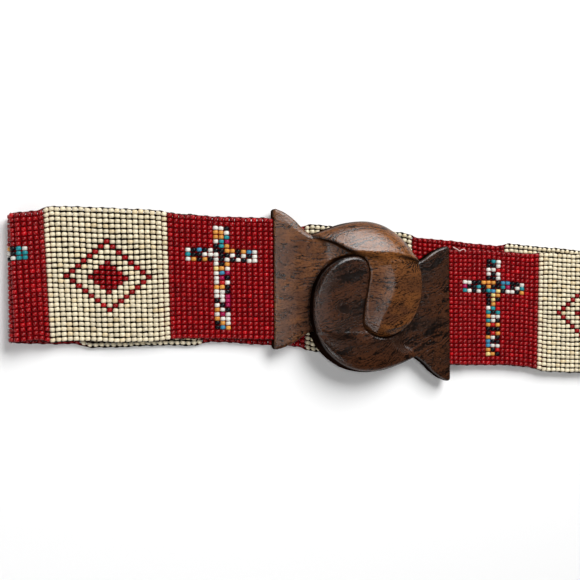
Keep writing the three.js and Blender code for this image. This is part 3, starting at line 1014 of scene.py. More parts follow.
@dataclass
class BeadedBand:
    """The woven band: panels of drilled seed beads on lengthwise elastics.

    A wave of the rows is its length, its turn from row to row and its share. A step of the weft's turn is
    its share of the way to the next column and its share of the reach. A bead's half profile is shares of
    its radius and of its length. The thread's route is in millimetres.
    """

    weave: Weave
    path: BandPath
    charts: Charts
    seed: int = 20
    bead_sides: int = 9
    row_wander: float = 0.26 * MM
    tilt: float = 0.14
    shift: float = 0.09 * MM
    size_spread: float = 0.09
    elastic_width: float = 0.42 * MM
    elastic_height: float = 1.5 * MM
    elastic_step: float = 2.8 * MM
    elastic_sides: int = 5
    edge_gap: float = 0.1 * MM
    edge_width: float = 1.15 * MM
    edge_drop: float = 0.45 * MM
    weft_width: float = 0.36 * MM
    weft_rows: int = 8
    weft_sides: int = 5
    turn_reach: float = 0.28 * MM
    weft_turn: tuple[tuple[float, float], ...] = ((0.12, 0.55), (0.35, 1.0), (0.65, 1.0), (0.88, 0.55))
    cord_trim: float = 0.4 * MM
    waves: tuple[tuple[float, float, float], ...] = (
        (38 * MM, 0.35, 0.5), (17 * MM, 0.9, 0.3), (8.5 * MM, 2.1, 0.2))
    bead_half: tuple[tuple[float, float], ...] = ((1.0, 0.24), (0.8, 0.46))
    bore_lip: float = 0.48
    thread_route: tuple[tuple[float, float, float], ...] = (
        (55.9, 27.8, 6.2), (56.5, 27.0, 7.9), (57.6, 26.5, 8.35), (58.9, 25.6, 8.05), (60.1, 26.2, 8.4),
        (61.4, 26.5, 8.4), (62.7, 25.8, 8.1), (63.2, 25.2, 6.6))
    thread_size: tuple[float, float] = (0.5 * MM, 0.42 * MM)
    thread_sides: int = 7
    thread_steps: int = 5

    def build(self, finishes: dict[str, bpy.types.Material]) -> list[bpy.types.Object]:
        """Builds every piece of the band.

        Args:
            finishes: The materials by name.

        Returns:
            The finished pieces.
        """
        tree = self._bead_tree()
        chance = np.random.default_rng(self.seed)
        pieces = []
        for beads in self._bead_sets(chance):
            piece = self._string(beads, tree, finishes[beads.finish], chance)
            pieces.append(hand_over(piece, beads.slot, BAND_NODE))
        cords = self._cord_tree()
        laid = (self._elastics(cords, finishes["elastic"]), self._edge_elastics(cords, finishes["elastic"]),
                self._weft(cords, finishes["weft"]))
        pieces += [hand_over(piece, "elastic_cord", BAND_NODE) for piece in laid]
        pieces.append(hand_over(self._thread_end(cords, finishes["thread"]), "thread_end", BAND_NODE))
        return pieces

    def _bead_sets(self, chance: np.random.Generator) -> list[BeadSet]:
        """Sorts the beads of all panels into pieces of one glass."""
        weave, charts = self.weave, self.charts
        sets = []
        first = 0
        red_number = 0
        last_red = weave.red_panels - 1
        for number, panel in enumerate(weave.panels, start=1):
            columns = weave.columns(panel)
            red = panel is Panel.RED
            length = weave.red_bead_length if red else weave.cream_bead_length
            ground = BeadSet(f"{panel.value}_panel_{number}", f"{panel.value}_beads", panel.value, length)
            motif_slot = "accent_beads" if red else "red_beads"
            motif = BeadSet(f"{'cross' if red else 'lozenge'}_{number}", motif_slot,
                            "accent" if red else "red", length)
            before = 1 if number == 1 else 0
            after = 1 if number == len(weave.panels) else 0
            for step in range(-before, columns + after):
                column = columns - 1 - step
                share = (first + step + 0.5) / weave.column_total
                travel = share * self.path.bead_travel
                for row in range(weave.row_count):
                    if red and charts.in_cross(column, row):
                        letter = charts.letter(red_number, last_red, column, row, chance)
                        motif.add(travel, row, Glaze[letter].value)
                    elif not red and charts.lozenge(column, row, columns, weave.row_count,
                                                    number == len(weave.panels) - 1):
                        motif.add(travel, row)
                    else:
                        ground.add(travel, row)
            sets += [ground, motif]
            first += columns
            red_number += red
        return sets

    def _wander(self, travel: np.ndarray, row: np.ndarray) -> np.ndarray:
        """Returns the slow sideways wander of a row that the elastics' pull leaves."""
        total = np.zeros(np.broadcast(travel, row).shape)
        for wave, turn, share in self.waves:
            total = total + share * np.sin(travel / wave * math.tau + row * turn)
        return self.row_wander * total

    def _across(self, travel: np.ndarray, row: np.ndarray) -> np.ndarray:
        """Returns the sideways place of a row, or of the space between two, at a travel."""
        middle = (self.weave.row_count - 1) / 2
        level = (middle - row) * self.path.row_pitch(travel)
        return self.path.aside(travel) + level + self._wander(travel, row) + self.path.slack(travel, row)

    def _leaning(self, travel: np.ndarray, row: np.ndarray) -> np.ndarray:
        """Returns the travel of a place of a column that is pulled along and leans from its middle row."""
        middle = (self.weave.row_count - 1) / 2
        pulled = travel + self.path.pull(travel)
        return pulled + (middle - row) * self.path.row_pitch(travel) * self.path.lean(travel)

    def _points(self, travel: np.ndarray, row: np.ndarray) -> np.ndarray:
        """Returns points of the band's middle surface."""
        x, z = self.path.place(travel)
        return np.stack([x, self._across(travel, row), z], axis=1)

    def _string(self, beads: BeadSet, tree: bpy.types.NodeTree, finish: bpy.types.Material,
                chance: np.random.Generator) -> bpy.types.Object:
        """Strings one piece's beads: a point and a facing for each, and the tree does the rest."""
        row = np.array(beads.row, float)
        travel = self._leaning(np.array(beads.travel), row)
        mesh = mesh_from(beads.name, self._points(travel, row))
        reach = 1 * MM
        rise = self._across(travel + reach, row) - self._across(travel - reach, row)
        dip, yaw = -self.path.slope(travel) / 2, np.arctan(rise / (2 * reach)) / 2
        both = np.cos(dip) * np.cos(yaw), np.sin(dip) * np.sin(yaw)
        mixed = np.sin(dip) * np.cos(yaw), np.cos(dip) * np.sin(yaw)
        turn = np.stack([both[0] + both[1], both[1] - both[0], mixed[0] - mixed[1], mixed[0] + mixed[1]],
                        axis=1) * math.sqrt(0.5)
        facing = mesh.attributes.new("facing", "QUATERNION", "POINT")
        facing.data.foreach_set("value", turn.astype(np.float32).ravel())
        glaze = mesh.attributes.new("glaze", "FLOAT_COLOR", "POINT")
        colours = np.hstack([np.array(beads.glaze, float), np.ones((len(travel), 1))])
        glaze.data.foreach_set("color", colours.astype(np.float32).ravel())
        bead = new_object(f"{beads.name}_bead", self._drilled_bead(beads.length))
        piece = bake_nodes(beads.name, new_object(f"{beads.name}_points", mesh), tree, {
            "Bead": bead, "Tilt": self.tilt, "Shift": self.shift, "Smallest": 1 - self.size_spread,
            "Largest": 1.0, "Seed": int(chance.integers(1, 9999)), "Finish": finish,
        })
        bpy.data.objects.remove(bead)
        return piece

    def _drilled_bead(self, length: float) -> bpy.types.Mesh:
        """Turns one drilled bead on its bore, which lies along Z."""
        radius = self.weave.bead_diameter / 2
        bore = self.weave.bore / 2
        half = [(wide * radius, up * length) for wide, up in self.bead_half]
        half.append((bore, self.bore_lip * length))
        (first, level), *rest = half
        profile = [(first, -level), *half, *((wide, -up) for wide, up in reversed(rest))]
        sides = self.bead_sides
        turn = np.arange(sides) * math.tau / sides
        points = [(r * math.cos(a), r * math.sin(a), h) for a in turn for r, h in profile]
        count = len(profile)
        faces = []
        for side in range(sides):
            here, there = side * count, (side + 1) % sides * count
            faces += [(here + i, there + i, there + (i + 1) % count, here + (i + 1) % count)
                      for i in range(count)]
        return mesh_from("drilled_bead", points, faces)

    def _bead_tree(self) -> bpy.types.NodeTree:
        """Returns the Geometry Nodes tree that strings beads on points."""
        tree = bpy.data.node_groups.new("String Beads", "GeometryNodeTree")
        sockets = tree.interface
        sockets.new_socket(name="Points", in_out="INPUT", socket_type="NodeSocketGeometry")
        sockets.new_socket(name="Bead", in_out="INPUT", socket_type="NodeSocketObject")
        for label in ("Tilt", "Shift", "Smallest", "Largest"):
            sockets.new_socket(name=label, in_out="INPUT", socket_type="NodeSocketFloat")
        sockets.new_socket(name="Seed", in_out="INPUT", socket_type="NodeSocketInt")
        sockets.new_socket(name="Finish", in_out="INPUT", socket_type="NodeSocketMaterial")
        sockets.new_socket(name="Beads", in_out="OUTPUT", socket_type="NodeSocketGeometry")
        desk = NodeDesk(tree)
        given = desk.add("NodeGroupInput", 0).outputs
        bead = desk.add("GeometryNodeObjectInfo", 1, 2)
        desk.put(bead, "Object", given["Bead"])
        facing = desk.add("GeometryNodeInputNamedAttribute", 1, 3, data_type="QUATERNION")
        desk.put(facing, "Name", "facing")

        def chance(kind: str, low: object, high: object, salt: int) -> bpy.types.NodeSocket:
            """Adds a seeded random value for each bead."""
            node = desk.add("FunctionNodeRandomValue", 2, 3 + salt, data_type=kind)
            desk.put(node, "Min", low)
            desk.put(node, "Max", high)
            desk.put(node, "Seed", desk.math("ADD", given["Seed"], float(salt)))
            return next(s for s in node.outputs if s.enabled)

        def around(size: bpy.types.NodeSocket) -> tuple[bpy.types.NodeSocket, bpy.types.NodeSocket]:
            """Returns a size and its opposite as vectors."""
            plus = desk.add("ShaderNodeCombineXYZ", 1, 6)
            minus = desk.vector("SCALE", plus.outputs[0], scale=-1.0)
            for axis in ("X", "Y", "Z"):
                desk.put(plus, axis, size)
            return minus, plus.outputs[0]

        placed = desk.add("GeometryNodeInstanceOnPoints", 3)
        desk.put(placed, "Points", given["Points"])
        desk.put(placed, "Instance", desk.pick(bead.outputs, "Geometry"))
        desk.put(placed, "Rotation", desk.pick(facing.outputs, "Attribute"))
        smallest, largest = around(given["Smallest"])[1], around(given["Largest"])[1]
        desk.put(placed, "Scale", chance("FLOAT_VECTOR", smallest, largest, 1))
        tilted = desk.add("GeometryNodeRotateInstances", 4)
        desk.put(tilted, "Instances", placed.outputs[0])
        low, high = around(given["Tilt"])
        as_turn = desk.add("FunctionNodeEulerToRotation", 3, 4)
        desk.put(as_turn, 0, chance("FLOAT_VECTOR", low, high, 2))
        desk.put(tilted, "Rotation", as_turn.outputs[0])
        shifted = desk.add("GeometryNodeTranslateInstances", 5)
        desk.put(shifted, "Instances", tilted.outputs[0])
        low, high = around(given["Shift"])
        desk.put(shifted, "Translation", chance("FLOAT_VECTOR", low, high, 3))
        tinted = desk.add("GeometryNodeStoreNamedAttribute", 6, data_type="FLOAT", domain="INSTANCE")
        desk.put(tinted, "Geometry", shifted.outputs[0])
        desk.put(tinted, "Name", "tint")
        desk.put(tinted, "Value", chance("FLOAT", 0.0, 1.0, 4))
        real = desk.add("GeometryNodeRealizeInstances", 7)
        desk.put(real, "Geometry", tinted.outputs[0])
        painted = desk.add("GeometryNodeSetMaterial", 8)
        desk.put(painted, "Geometry", real.outputs[0])
        desk.put(painted, "Material", given["Finish"])
        desk.put(desk.add("NodeGroupOutput", 9), "Beads", painted.outputs[0])
        return tree

    def _edge_row(self, travel: np.ndarray, reach: float) -> np.ndarray:
        """Returns how many rows beyond the outermost one a place beyond its bead's end lies."""
        weave = self.weave
        pitch = self.path.row_pitch(travel)
        wide = (pitch - weave.red_row_pitch) / (weave.cream_row_pitch - weave.red_row_pitch)
        half = (weave.red_bead_length + (weave.cream_bead_length - weave.red_bead_length) * wide) / 2
        return (half + reach) / pitch

    def _cord_travel(self) -> np.ndarray:
        """Returns the stations of a lengthwise cord, from slot to slot."""
        start, end = self.path.travel[0] + self.cord_trim, self.path.travel[-1] - self.cord_trim
        return np.linspace(start, end, int((end - start) / self.elastic_step))

    def _elastics(self, tree: bpy.types.NodeTree, finish: bpy.types.Material) -> bpy.types.Object:
        """Lays the lengthwise elastics in the spaces between the rows."""
        travel = self._cord_travel()
        last = self.weave.row_count - 1
        lines = [self._points(travel, np.full(travel.shape, space + 0.5)) for space in range(last)]
        return self._lay("elastics", lines, self.elastic_width, self.elastic_height, self.elastic_sides,
                         tree, finish, self._beside_red(travel))

    def _edge_elastics(self, tree: bpy.types.NodeTree, finish: bpy.types.Material) -> bpy.types.Object:
        """Lays the two outer elastics against the ends of the outer beads, a little under their middle."""
        travel = self._cord_travel()
        beyond = self._edge_row(travel, self.edge_gap - self.edge_width / 3)
        slope = self.path.slope(travel)
        inwards = np.stack([np.sin(slope), 0 * slope, -np.cos(slope)], axis=1) * self.edge_drop
        last = self.weave.row_count - 1
        lines = [self._points(travel, row) - inwards for row in (-beyond, last + beyond)]
        return self._lay("edge_elastics", lines, self.edge_width, self.edge_width, self.elastic_sides, tree,
                         finish, self._beside_red(travel))

    def _beside_red(self, travel: np.ndarray) -> np.ndarray:
        """Returns 1 where a cord passes red beads and 0 where it passes cream ones."""
        weave = self.weave
        pitch = self.path.row_pitch(travel - self.path.pull(travel))
        return (weave.cream_row_pitch - pitch) / (weave.cream_row_pitch - weave.red_row_pitch)

    def _weft(self, tree: bpy.types.NodeTree, finish: bpy.types.Material) -> bpy.types.Object:
        """Runs the weft through the bores, to and fro, round the outer elastic at each turn."""
        weave, path = self.weave, self.path
        pitch = path.bead_travel / weave.column_total
        last = weave.row_count - 1
        travel, row = [], []
        for column in range(weave.column_total):
            middle = (column + 0.5) * pitch
            rows = np.linspace(0, last, self.weft_rows)
            upwards = column % 2 == 1
            places = self._leaning(np.full(rows.shape, middle), rows)
            travel += list(places[::-1] if upwards else places)
            row += list(rows[::-1] if upwards else rows)
            for share, reach in self.weft_turn:
                place = np.array([middle + share * pitch])
                beyond = self._edge_row(place, self.edge_gap + self.turn_reach * reach)
                edge = -beyond if upwards else last + beyond
                travel += list(self._leaning(place, edge))
                row += list(edge)
        line = self._points(np.array(travel), np.array(row))
        return self._lay("weft", [line], self.weft_width, self.weft_width, self.weft_sides, tree, finish)

    def _thread_end(self, tree: bpy.types.NodeTree, finish: bpy.types.Material) -> bpy.types.Object:
        """Lays the pale end of the sewing thread that stands out beside the right plate."""
        route = spline(np.array(self.thread_route) * MM, self.thread_steps)
        return self._lay("thread_end", [route], *self.thread_size, self.thread_sides, tree, finish)

    def _lay(self, name: str, lines: list[np.ndarray], width: float, height: float, sides: int,
             tree: bpy.types.NodeTree, finish: bpy.types.Material,
             lit: np.ndarray | None = None) -> bpy.types.Object:
        """Lays one cord along each line.

        Args:
            name: Name of the piece.
            lines: The points of each line.
            width: Width of a cord in the plane of the band.
            height: Its height.
            sides: Sides of its section.
            tree: The tree that sweeps it.
            finish: Its material.
            lit: How much each point of a line takes the light of red glass; nothing means not at all.

        Returns:
            The piece.
        """
        points = np.vstack(lines)
        edges = []
        first = 0
        for line in lines:
            edges += [(first + i, first + i + 1) for i in range(len(line) - 1)]
            first += len(line)
        mesh = bpy.data.meshes.new(f"{name}_lines")
        mesh.from_pydata(points.tolist(), edges, [])
        share = np.zeros(len(points)) if lit is None else np.tile(lit, len(lines))
        mesh.attributes.new("lit", "FLOAT", "POINT").data.foreach_set("value", share.astype(np.float32))
        return bake_nodes(name, new_object(f"{name}_lines", mesh), tree, {
            "Width": width, "Height": height, "Sides": sides, "Finish": finish,
        })

    def _cord_tree(self) -> bpy.types.NodeTree:
        """Returns the Geometry Nodes tree that lays a flat-sided cord along lines."""
        tree = bpy.data.node_groups.new("Lay Cords", "GeometryNodeTree")
        sockets = tree.interface
        sockets.new_socket(name="Lines", in_out="INPUT", socket_type="NodeSocketGeometry")
        for label in ("Width", "Height"):
            sockets.new_socket(name=label, in_out="INPUT", socket_type="NodeSocketFloat")
        sockets.new_socket(name="Sides", in_out="INPUT", socket_type="NodeSocketInt")
        sockets.new_socket(name="Finish", in_out="INPUT", socket_type="NodeSocketMaterial")
        sockets.new_socket(name="Cords", in_out="OUTPUT", socket_type="NodeSocketGeometry")
        desk = NodeDesk(tree)
        given = desk.add("NodeGroupInput", 0).outputs
        lines = desk.add("GeometryNodeMeshToCurve", 1)
        desk.put(lines, "Mesh", given["Lines"])
        upright = desk.add("GeometryNodeSetCurveNormal", 2)
        desk.put(upright, "Curve", lines.outputs[0])
        circle = desk.add("GeometryNodeCurvePrimitiveCircle", 1, 2)
        desk.put(circle, "Resolution", given["Sides"])
        desk.put(circle, "Radius", 0.5)
        oval = desk.add("GeometryNodeTransform", 2, 2)
        desk.put(oval, "Geometry", circle.outputs[0])
        size = desk.add("ShaderNodeCombineXYZ", 1, 3)
        desk.put(size, "X", given["Height"])
        desk.put(size, "Y", given["Width"])
        desk.put(size, "Z", 1.0)
        desk.put(oval, "Scale", size.outputs[0])
        swept = desk.add("GeometryNodeCurveToMesh", 3)
        desk.put(swept, "Curve", upright.outputs[0])
        desk.put(swept, "Profile Curve", oval.outputs[0])
        desk.put(swept, "Fill Caps", True)
        real = desk.add("GeometryNodeRealizeInstances", 4)
        desk.put(real, "Geometry", swept.outputs[0])
        painted = desk.add("GeometryNodeSetMaterial", 5)
        desk.put(painted, "Geometry", real.outputs[0])
        desk.put(painted, "Material", given["Finish"])
        desk.put(desk.add("NodeGroupOutput", 6), "Cords", painted.outputs[0])
        return tree


# Clasp

@dataclass(frozen=True)
class HookPlan:
    """Sizes of one hook, and the tables that shape it, as shares of them. The plan is the left hook's."""

    plate_reach: float
    far_corner: float
    near_corner: float
    plate_bottom: float
    clasp_top: float
    plate_thickness: float = 7 * MM
    plate_end_thickness: float = 6 * MM
    corner_round: float = 1.8 * MM
    half_length: float = 33 * MM
    half_width: float = 41.8 * MM
    head_rise: float = 8.9 * MM
    ramp_start: float = 24 * MM
    seam: float = 0.4 * MM
    seat_gap: float = 0.3 * MM
    arm_lap: float = 2.5 * MM
    root_lap: float = 0.5 * MM
    slot_depth: float = 4 * MM
    slot_height: float = 3.6 * MM
    slot_width: float = 66.2 * MM
    edge_round: float = 1.1 * MM
    foot_round: float = 0.7 * MM
    seam_round: float = 0.6 * MM
    fillet: float = 0.5 * MM
    arm_across: tuple[float, ...] = (-.928, -.6, -.3, 0, .24, .45, .66, .81, .928)
    arm_edge: tuple[float, ...] = (.815, .912, .979, 1, .973, .907, .79, .656, .476)
    arm_step: tuple[float, ...] = (.797, .72, .6, .563, .563, .556, .523, .492, .458)
    arm_crest: tuple[float, ...] = (.02, .5, .86, .98, 1, .96, .89, .78, .68)
    head_line: tuple[tuple[float, float], ...] = (
        (0, 0), (-.04, -.166), (-.064, -.333), (-.012, -.445), (.11, -.518), (.284, -.545),
        (.479, -.515), (.653, -.445), (.796, -.352), (.91, -.214), (.976, -.059), (1, .119),
        (.988, .297), (.928, .467))
    shoulder_along: tuple[float, ...] = (-1, -.5, -.22, 0, .12, .22, .34, .46, .58, .75, 1)
    fishtail: tuple[tuple[float, float], ...] = (
        (.12, .02), (.32, .16), (.55, .42), (.78, .76), (1, 1))

    @classmethod
    def from_frame(cls) -> "HookPlan":
        """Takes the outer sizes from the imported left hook."""
        low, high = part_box(LEFT_HOOK_NODE)
        return cls(plate_reach=-low.x, far_corner=high.y, near_corner=-low.y, plate_bottom=low.z,
                   clasp_top=high.z)

    @property
    def plate_top(self) -> float:
        """Height of the top of the plates."""
        return self.plate_bottom + self.plate_thickness

    @property
    def arm_rise(self) -> float:
        """Height of the arm's crest above the plates."""
        return self.clasp_top - self.plate_top


@dataclass(frozen=True)
class CarverHand:
    """What the carver's hand made different in each hook, in the plan of the left one.

    Lengths run with the tables of the plan: step_blends with arm_across, shoulders with shoulder_along.
    """

    seam_shift: float
    step_blends: tuple[float, ...]
    ridge_y: tuple[float, ...]
    ridge_x: tuple[float, ...]
    cup_depth: float
    cup_reach: float
    outer_slope: float
    ridge_round: float
    ramp_end: float
    flank_power: float
    crest_share: float
    shoulder_reaches: tuple[float, ...]
    shoulder_drops: tuple[float, ...]
    bevel_width: float
    bevel_drop: float
    bevel_narrowing: float = 0.7
    end_fall: float = 1.35 * MM
    end_fall_reach: float = 13 * MM
    end_fall_power: float = 1.25


LEFT_HAND = CarverHand(
    seam_shift=-1.9 * MM,
    step_blends=(.9 * MM, .9 * MM, 1.5 * MM, 4.5 * MM, 6 * MM, 3.5 * MM, 1.6 * MM, 1.4 * MM, 1.4 * MM),
    ridge_y=(-22 * MM, -12 * MM, -6.2 * MM, 0 * MM, 7.5 * MM, 17.4 * MM, 24 * MM, 30 * MM),
    ridge_x=(4 * MM, 7 * MM, 10.2 * MM, 13.3 * MM, 15.1 * MM, 12.8 * MM, 7.5 * MM, 3 * MM),
    cup_depth=2.3 * MM, cup_reach=6.5 * MM, outer_slope=0.24, ridge_round=1 * MM, ramp_end=2 * MM,
    flank_power=1.42, crest_share=1.0,
    shoulder_reaches=(.8 * MM, .8 * MM, .8 * MM, 1 * MM, 2.5 * MM, 4.6 * MM, 5.4 * MM, 4.4 * MM, 2.4 * MM,
                      1.2 * MM, 1 * MM),
    shoulder_drops=(.2 * MM, .2 * MM, .3 * MM, .5 * MM, 1.6 * MM, 3.4 * MM, 3.8 * MM, 2.9 * MM, 1.2 * MM,
                    .6 * MM, .4 * MM),
    bevel_width=6.5 * MM, bevel_drop=0.8 * MM,
)
RIGHT_HAND = CarverHand(
    seam_shift=1.9 * MM,
    step_blends=(5 * MM, 6 * MM, 7 * MM, 7 * MM, 7 * MM, 6 * MM, 5 * MM, 4 * MM, 3 * MM),
    ridge_y=(-24 * MM, -12 * MM, 0 * MM, 12 * MM, 26 * MM),
    ridge_x=(16 * MM, 21 * MM, 23 * MM, 21 * MM, 14 * MM),
    cup_depth=1.2 * MM, cup_reach=14 * MM, outer_slope=0.12, ridge_round=2.5 * MM, ramp_end=7 * MM,
    flank_power=3.2, crest_share=0.86,
    shoulder_reaches=(.8 * MM, .8 * MM, .8 * MM, 1 * MM, 1.2 * MM, 1.6 * MM, 1.9 * MM, 2.1 * MM, 2.2 * MM,
                      2.2 * MM, 2.2 * MM),
    shoulder_drops=(.2 * MM, .2 * MM, .3 * MM, .4 * MM, .5 * MM, .9 * MM, 1.2 * MM, 1.4 * MM, 1.5 * MM,
                    1.5 * MM, 1.5 * MM),
    bevel_width=1.6 * MM, bevel_drop=0.9 * MM,
)


@dataclass
class CarvedHook:
    """One hook: a fishtail plate, a ramp into the head, and the arm that rolls round it."""

    plan: HookPlan
    hand: CarverHand
    slot_middle: float
    turned: bool
    voxel: float = 0.55 * MM
    margin: float = 2.4 * MM
    field_band: int = 3
    steepest: float = 3.0
    curve_steps: int = 8
    lap_share: float = 0.6
    seam_shift_ends: tuple[float, float] = (15 * MM, 24 * MM)
    step_span: tuple[float, float] = (-0.3, 0.7)
    least_flank: float = 2 * MM
    groove_reach: float = 0.75 * MM
    groove_depth: float = 2 * MM
    sharp_span: tuple[float, float] = (1.2 * MM, 3 * MM)
    upright_span: tuple[float, float] = (0.15, 0.6)

    def build(self, name: str, node: str, finish: bpy.types.Material) -> bpy.types.Object:
        """Carves the hook and dresses it.

        Args:
            name: Name of the piece.
            node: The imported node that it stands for.
            finish: Its wood.

        Returns:
            The finished piece.
        """
        mesh = self._carve(name)
        self._mark_grooves(mesh)
        self._mark_sides(mesh)
        if self.turned:
            mesh.transform(Matrix.Rotation(math.pi, 4, "Z"))
        mesh.materials.append(finish)
        return hand_over(new_object(name, mesh), "carved_wood", node)

    def _lines(self) -> None:
        """Draws the lines of the plan once."""
        plan = self.plan
        size = np.array([plan.half_length, plan.half_width])
        across = np.array(plan.arm_across)
        self.edge = spline(np.stack([across, plan.arm_edge], axis=1) * size, self.curve_steps)
        self.step = spline(np.stack([across, plan.arm_step], axis=1) * size, self.curve_steps)
        self.lapped_step = self.step.copy()
        self.lapped_step[:, 1] += np.minimum(plan.arm_lap, self.lap_share * (self.edge - self.step)[:, 1])
        head = spline(np.array(plan.head_line) * size, self.curve_steps)
        seam = np.vstack([-head[:0:-1], head])
        seam[:, 0] += self.hand.seam_shift * (1 - smoothstep(np.hypot(*seam.T), *self.seam_shift_ends))
        self.full_seam = seam
        self.turned_head = seam[:len(head) - 1]
        self.head = seam[len(head) - 1:]
        self.near_notch = self.step[-1, 1] - plan.root_lap
        self.far_edge = self._fishtail_edge(1, plan.far_corner, (self.edge[0, 0], self.edge[0, 1]))

    def _corner(self, side: int, reach: float) -> np.ndarray:
        """Returns the round corner of the plate's outer end."""
        plan = self.plan
        turn = np.linspace(math.pi, math.pi / 2, self.curve_steps)
        centre = np.array([-plan.plate_reach + plan.corner_round, side * (reach - plan.corner_round)])
        arc = np.stack([np.cos(turn), side * np.sin(turn)], axis=1)
        return centre + plan.corner_round * arc

    def _fishtail_edge(self, side: int, corner: float, notch: tuple[float, float]) -> np.ndarray:
        """Returns one side of the fishtail, from its corner to the notch."""
        plan = self.plan
        along, fall = np.array(plan.fishtail).T
        x = -plan.plate_reach + along * (plan.plate_reach + notch[0])
        y = side * (corner - fall * (corner - notch[1]))
        return spline(np.stack([x, y], axis=1), self.curve_steps)

    def _plate_outline(self) -> np.ndarray:
        """Returns the plan of the plate and of the arm's root."""
        plan = self.plan
        half = plan.seam / 2
        reach = -self.edge[0, 0]
        hidden = np.array([(reach, self.near_notch + half), (-half, self.near_notch + half),
                           (-half, half - self.near_notch), (-reach, half - self.near_notch)])
        return np.vstack([
            self._corner(1, plan.far_corner),
            self.far_edge,
            self.edge[1:-1],
            hidden,
            self._fishtail_edge(-1, plan.near_corner, (-reach, self.near_notch - half))[::-1][1:],
            self._corner(-1, plan.near_corner)[::-1],
        ])

    def _head_seam(self) -> np.ndarray:
        """Returns the seam line of the head, on this hook's side of the seam."""
        climb = self.turned_head[(self.turned_head[:, 1] > 0)
                                 & (self.turned_head[:, 0] > -self.plan.ramp_start)]
        return offset_line(np.vstack([climb, self.head]), self.plan.seam / 2)[::-1][1:]

    def _root_seam(self) -> np.ndarray:
        """Returns the seam line of the arm's root, solid from its underside up."""
        half = self.plan.seam / 2
        height = self.near_notch + half
        reach = -self.edge[0, 0]
        line = self._head_seam()
        over_plate = (line[:, 0] < -half) & (line[:, 1] > self.near_notch / 2)
        above_other = (line[:, 0] < reach / 2) & (line[:, 1] > height)
        return np.vstack([[(self.step[-1, 0], height)], line[over_plate | above_other]])

    def _head_height(self, x: np.ndarray, y: np.ndarray) -> np.ndarray:
        """Returns the top of the head, and of the plate where it climbs into it."""
        plan, hand = self.plan, self.hand
        beside = x - table_value(hand.ridge_y, hand.ridge_x, y)
        away = np.hypot(beside, hand.ridge_round) - hand.ridge_round
        cup = hand.cup_depth * (1 - np.exp(-away / hand.cup_reach))
        fall = np.where(beside < 0, cup, hand.outer_slope * away)
        distance, share = nearest_on_line(self.full_seam, x, y)
        along = 2 * share - 1
        reach = table_value(plan.shoulder_along, hand.shoulder_reaches, along)
        drop = table_value(plan.shoulder_along, hand.shoulder_drops, along)
        shoulder = drop * np.maximum(1 - distance / reach, 0)
        climb = smoothstep(x, -plan.ramp_start, -hand.ramp_end)
        return self._plate_height(x, y) + (plan.head_rise - fall - shoulder) * climb

    def _crown(self, x: np.ndarray, y: np.ndarray) -> np.ndarray:
        """Returns the top of arm and head.

        The arm is a rolled flank from its outer line up to its crest, and inside the step line the crest
        falls to the head, at once or over a soft blend.
        """
        plan, hand = self.plan, self.hand
        across = x / plan.half_length
        edge = table_value(plan.arm_across, plan.arm_edge, across) * plan.half_width
        step = table_value(plan.arm_across, plan.arm_step, across) * plan.half_width
        crest = table_value(plan.arm_across, plan.arm_crest, across) * plan.arm_rise * hand.crest_share
        inward = np.clip((edge - y) / np.maximum(edge - step, self.least_flank), 0, 1)
        arm = plan.plate_top + crest * (1 - (1 - inward) ** hand.flank_power) ** (1 / hand.flank_power)
        blend = table_value(plan.arm_across, hand.step_blends, across)
        share = smoothstep((step - y) / blend, *self.step_span)
        return arm + (self._head_height(x, y) - arm) * share

    def _plate_height(self, x: np.ndarray, y: np.ndarray) -> np.ndarray:
        """Returns the top of the plate, which falls to its outer end and along its fishtail edge."""
        plan, hand = self.plan, self.hand
        out = np.clip((hand.end_fall_reach - x - plan.plate_reach) / hand.end_fall_reach, 0, 1)
        distance, share = nearest_on_line(self.far_edge, x, y)
        bevel = np.maximum(1 - distance / (hand.bevel_width * (1 - hand.bevel_narrowing * share)), 0)
        return plan.plate_top - hand.end_fall * out**hand.end_fall_power - hand.bevel_drop * bevel

    def _under(self, height: np.ndarray, z: np.ndarray) -> np.ndarray:
        """Returns the distance field of what lies under a height map."""
        slope_x, slope_y = np.gradient(height, self.voxel)
        lean = np.sqrt(1 + np.minimum(slope_x**2 + slope_y**2, self.steepest**2))
        return (z[None, None, :] - height[:, :, None]) / lean[:, :, None]

    def _carve(self, name: str) -> bpy.types.Mesh:
        """Fills a field with the hook's distances and takes its skin."""
        plan = self.plan
        self._lines()
        low = np.array([-plan.plate_reach, -plan.near_corner, plan.plate_bottom]) - self.margin
        high = np.array([plan.half_length, plan.far_corner, plan.clasp_top]) + self.margin
        axes = [np.arange(a, b, self.voxel) for a, b in zip(low, high)]
        x, y = np.meshgrid(axes[0], axes[1], indexing="ij")
        z = axes[2]
        foot = (plan.plate_bottom - z)[None, None, :]
        head_foot = (plan.plate_top + plan.seat_gap - z)[None, None, :]
        crown = self._under(self._crown(x, y), z)
        plate_top = self._under(self._plate_height(x, y), z)

        def column(outline: np.ndarray, top: np.ndarray, bottom: np.ndarray, rounding: float) -> np.ndarray:
            """Returns the field of an upright piece under a carved top."""
            walls = outline_distance(outline, x, y)[:, :, None]
            return round_meet(round_meet(walls, top, rounding), bottom, plan.foot_round)

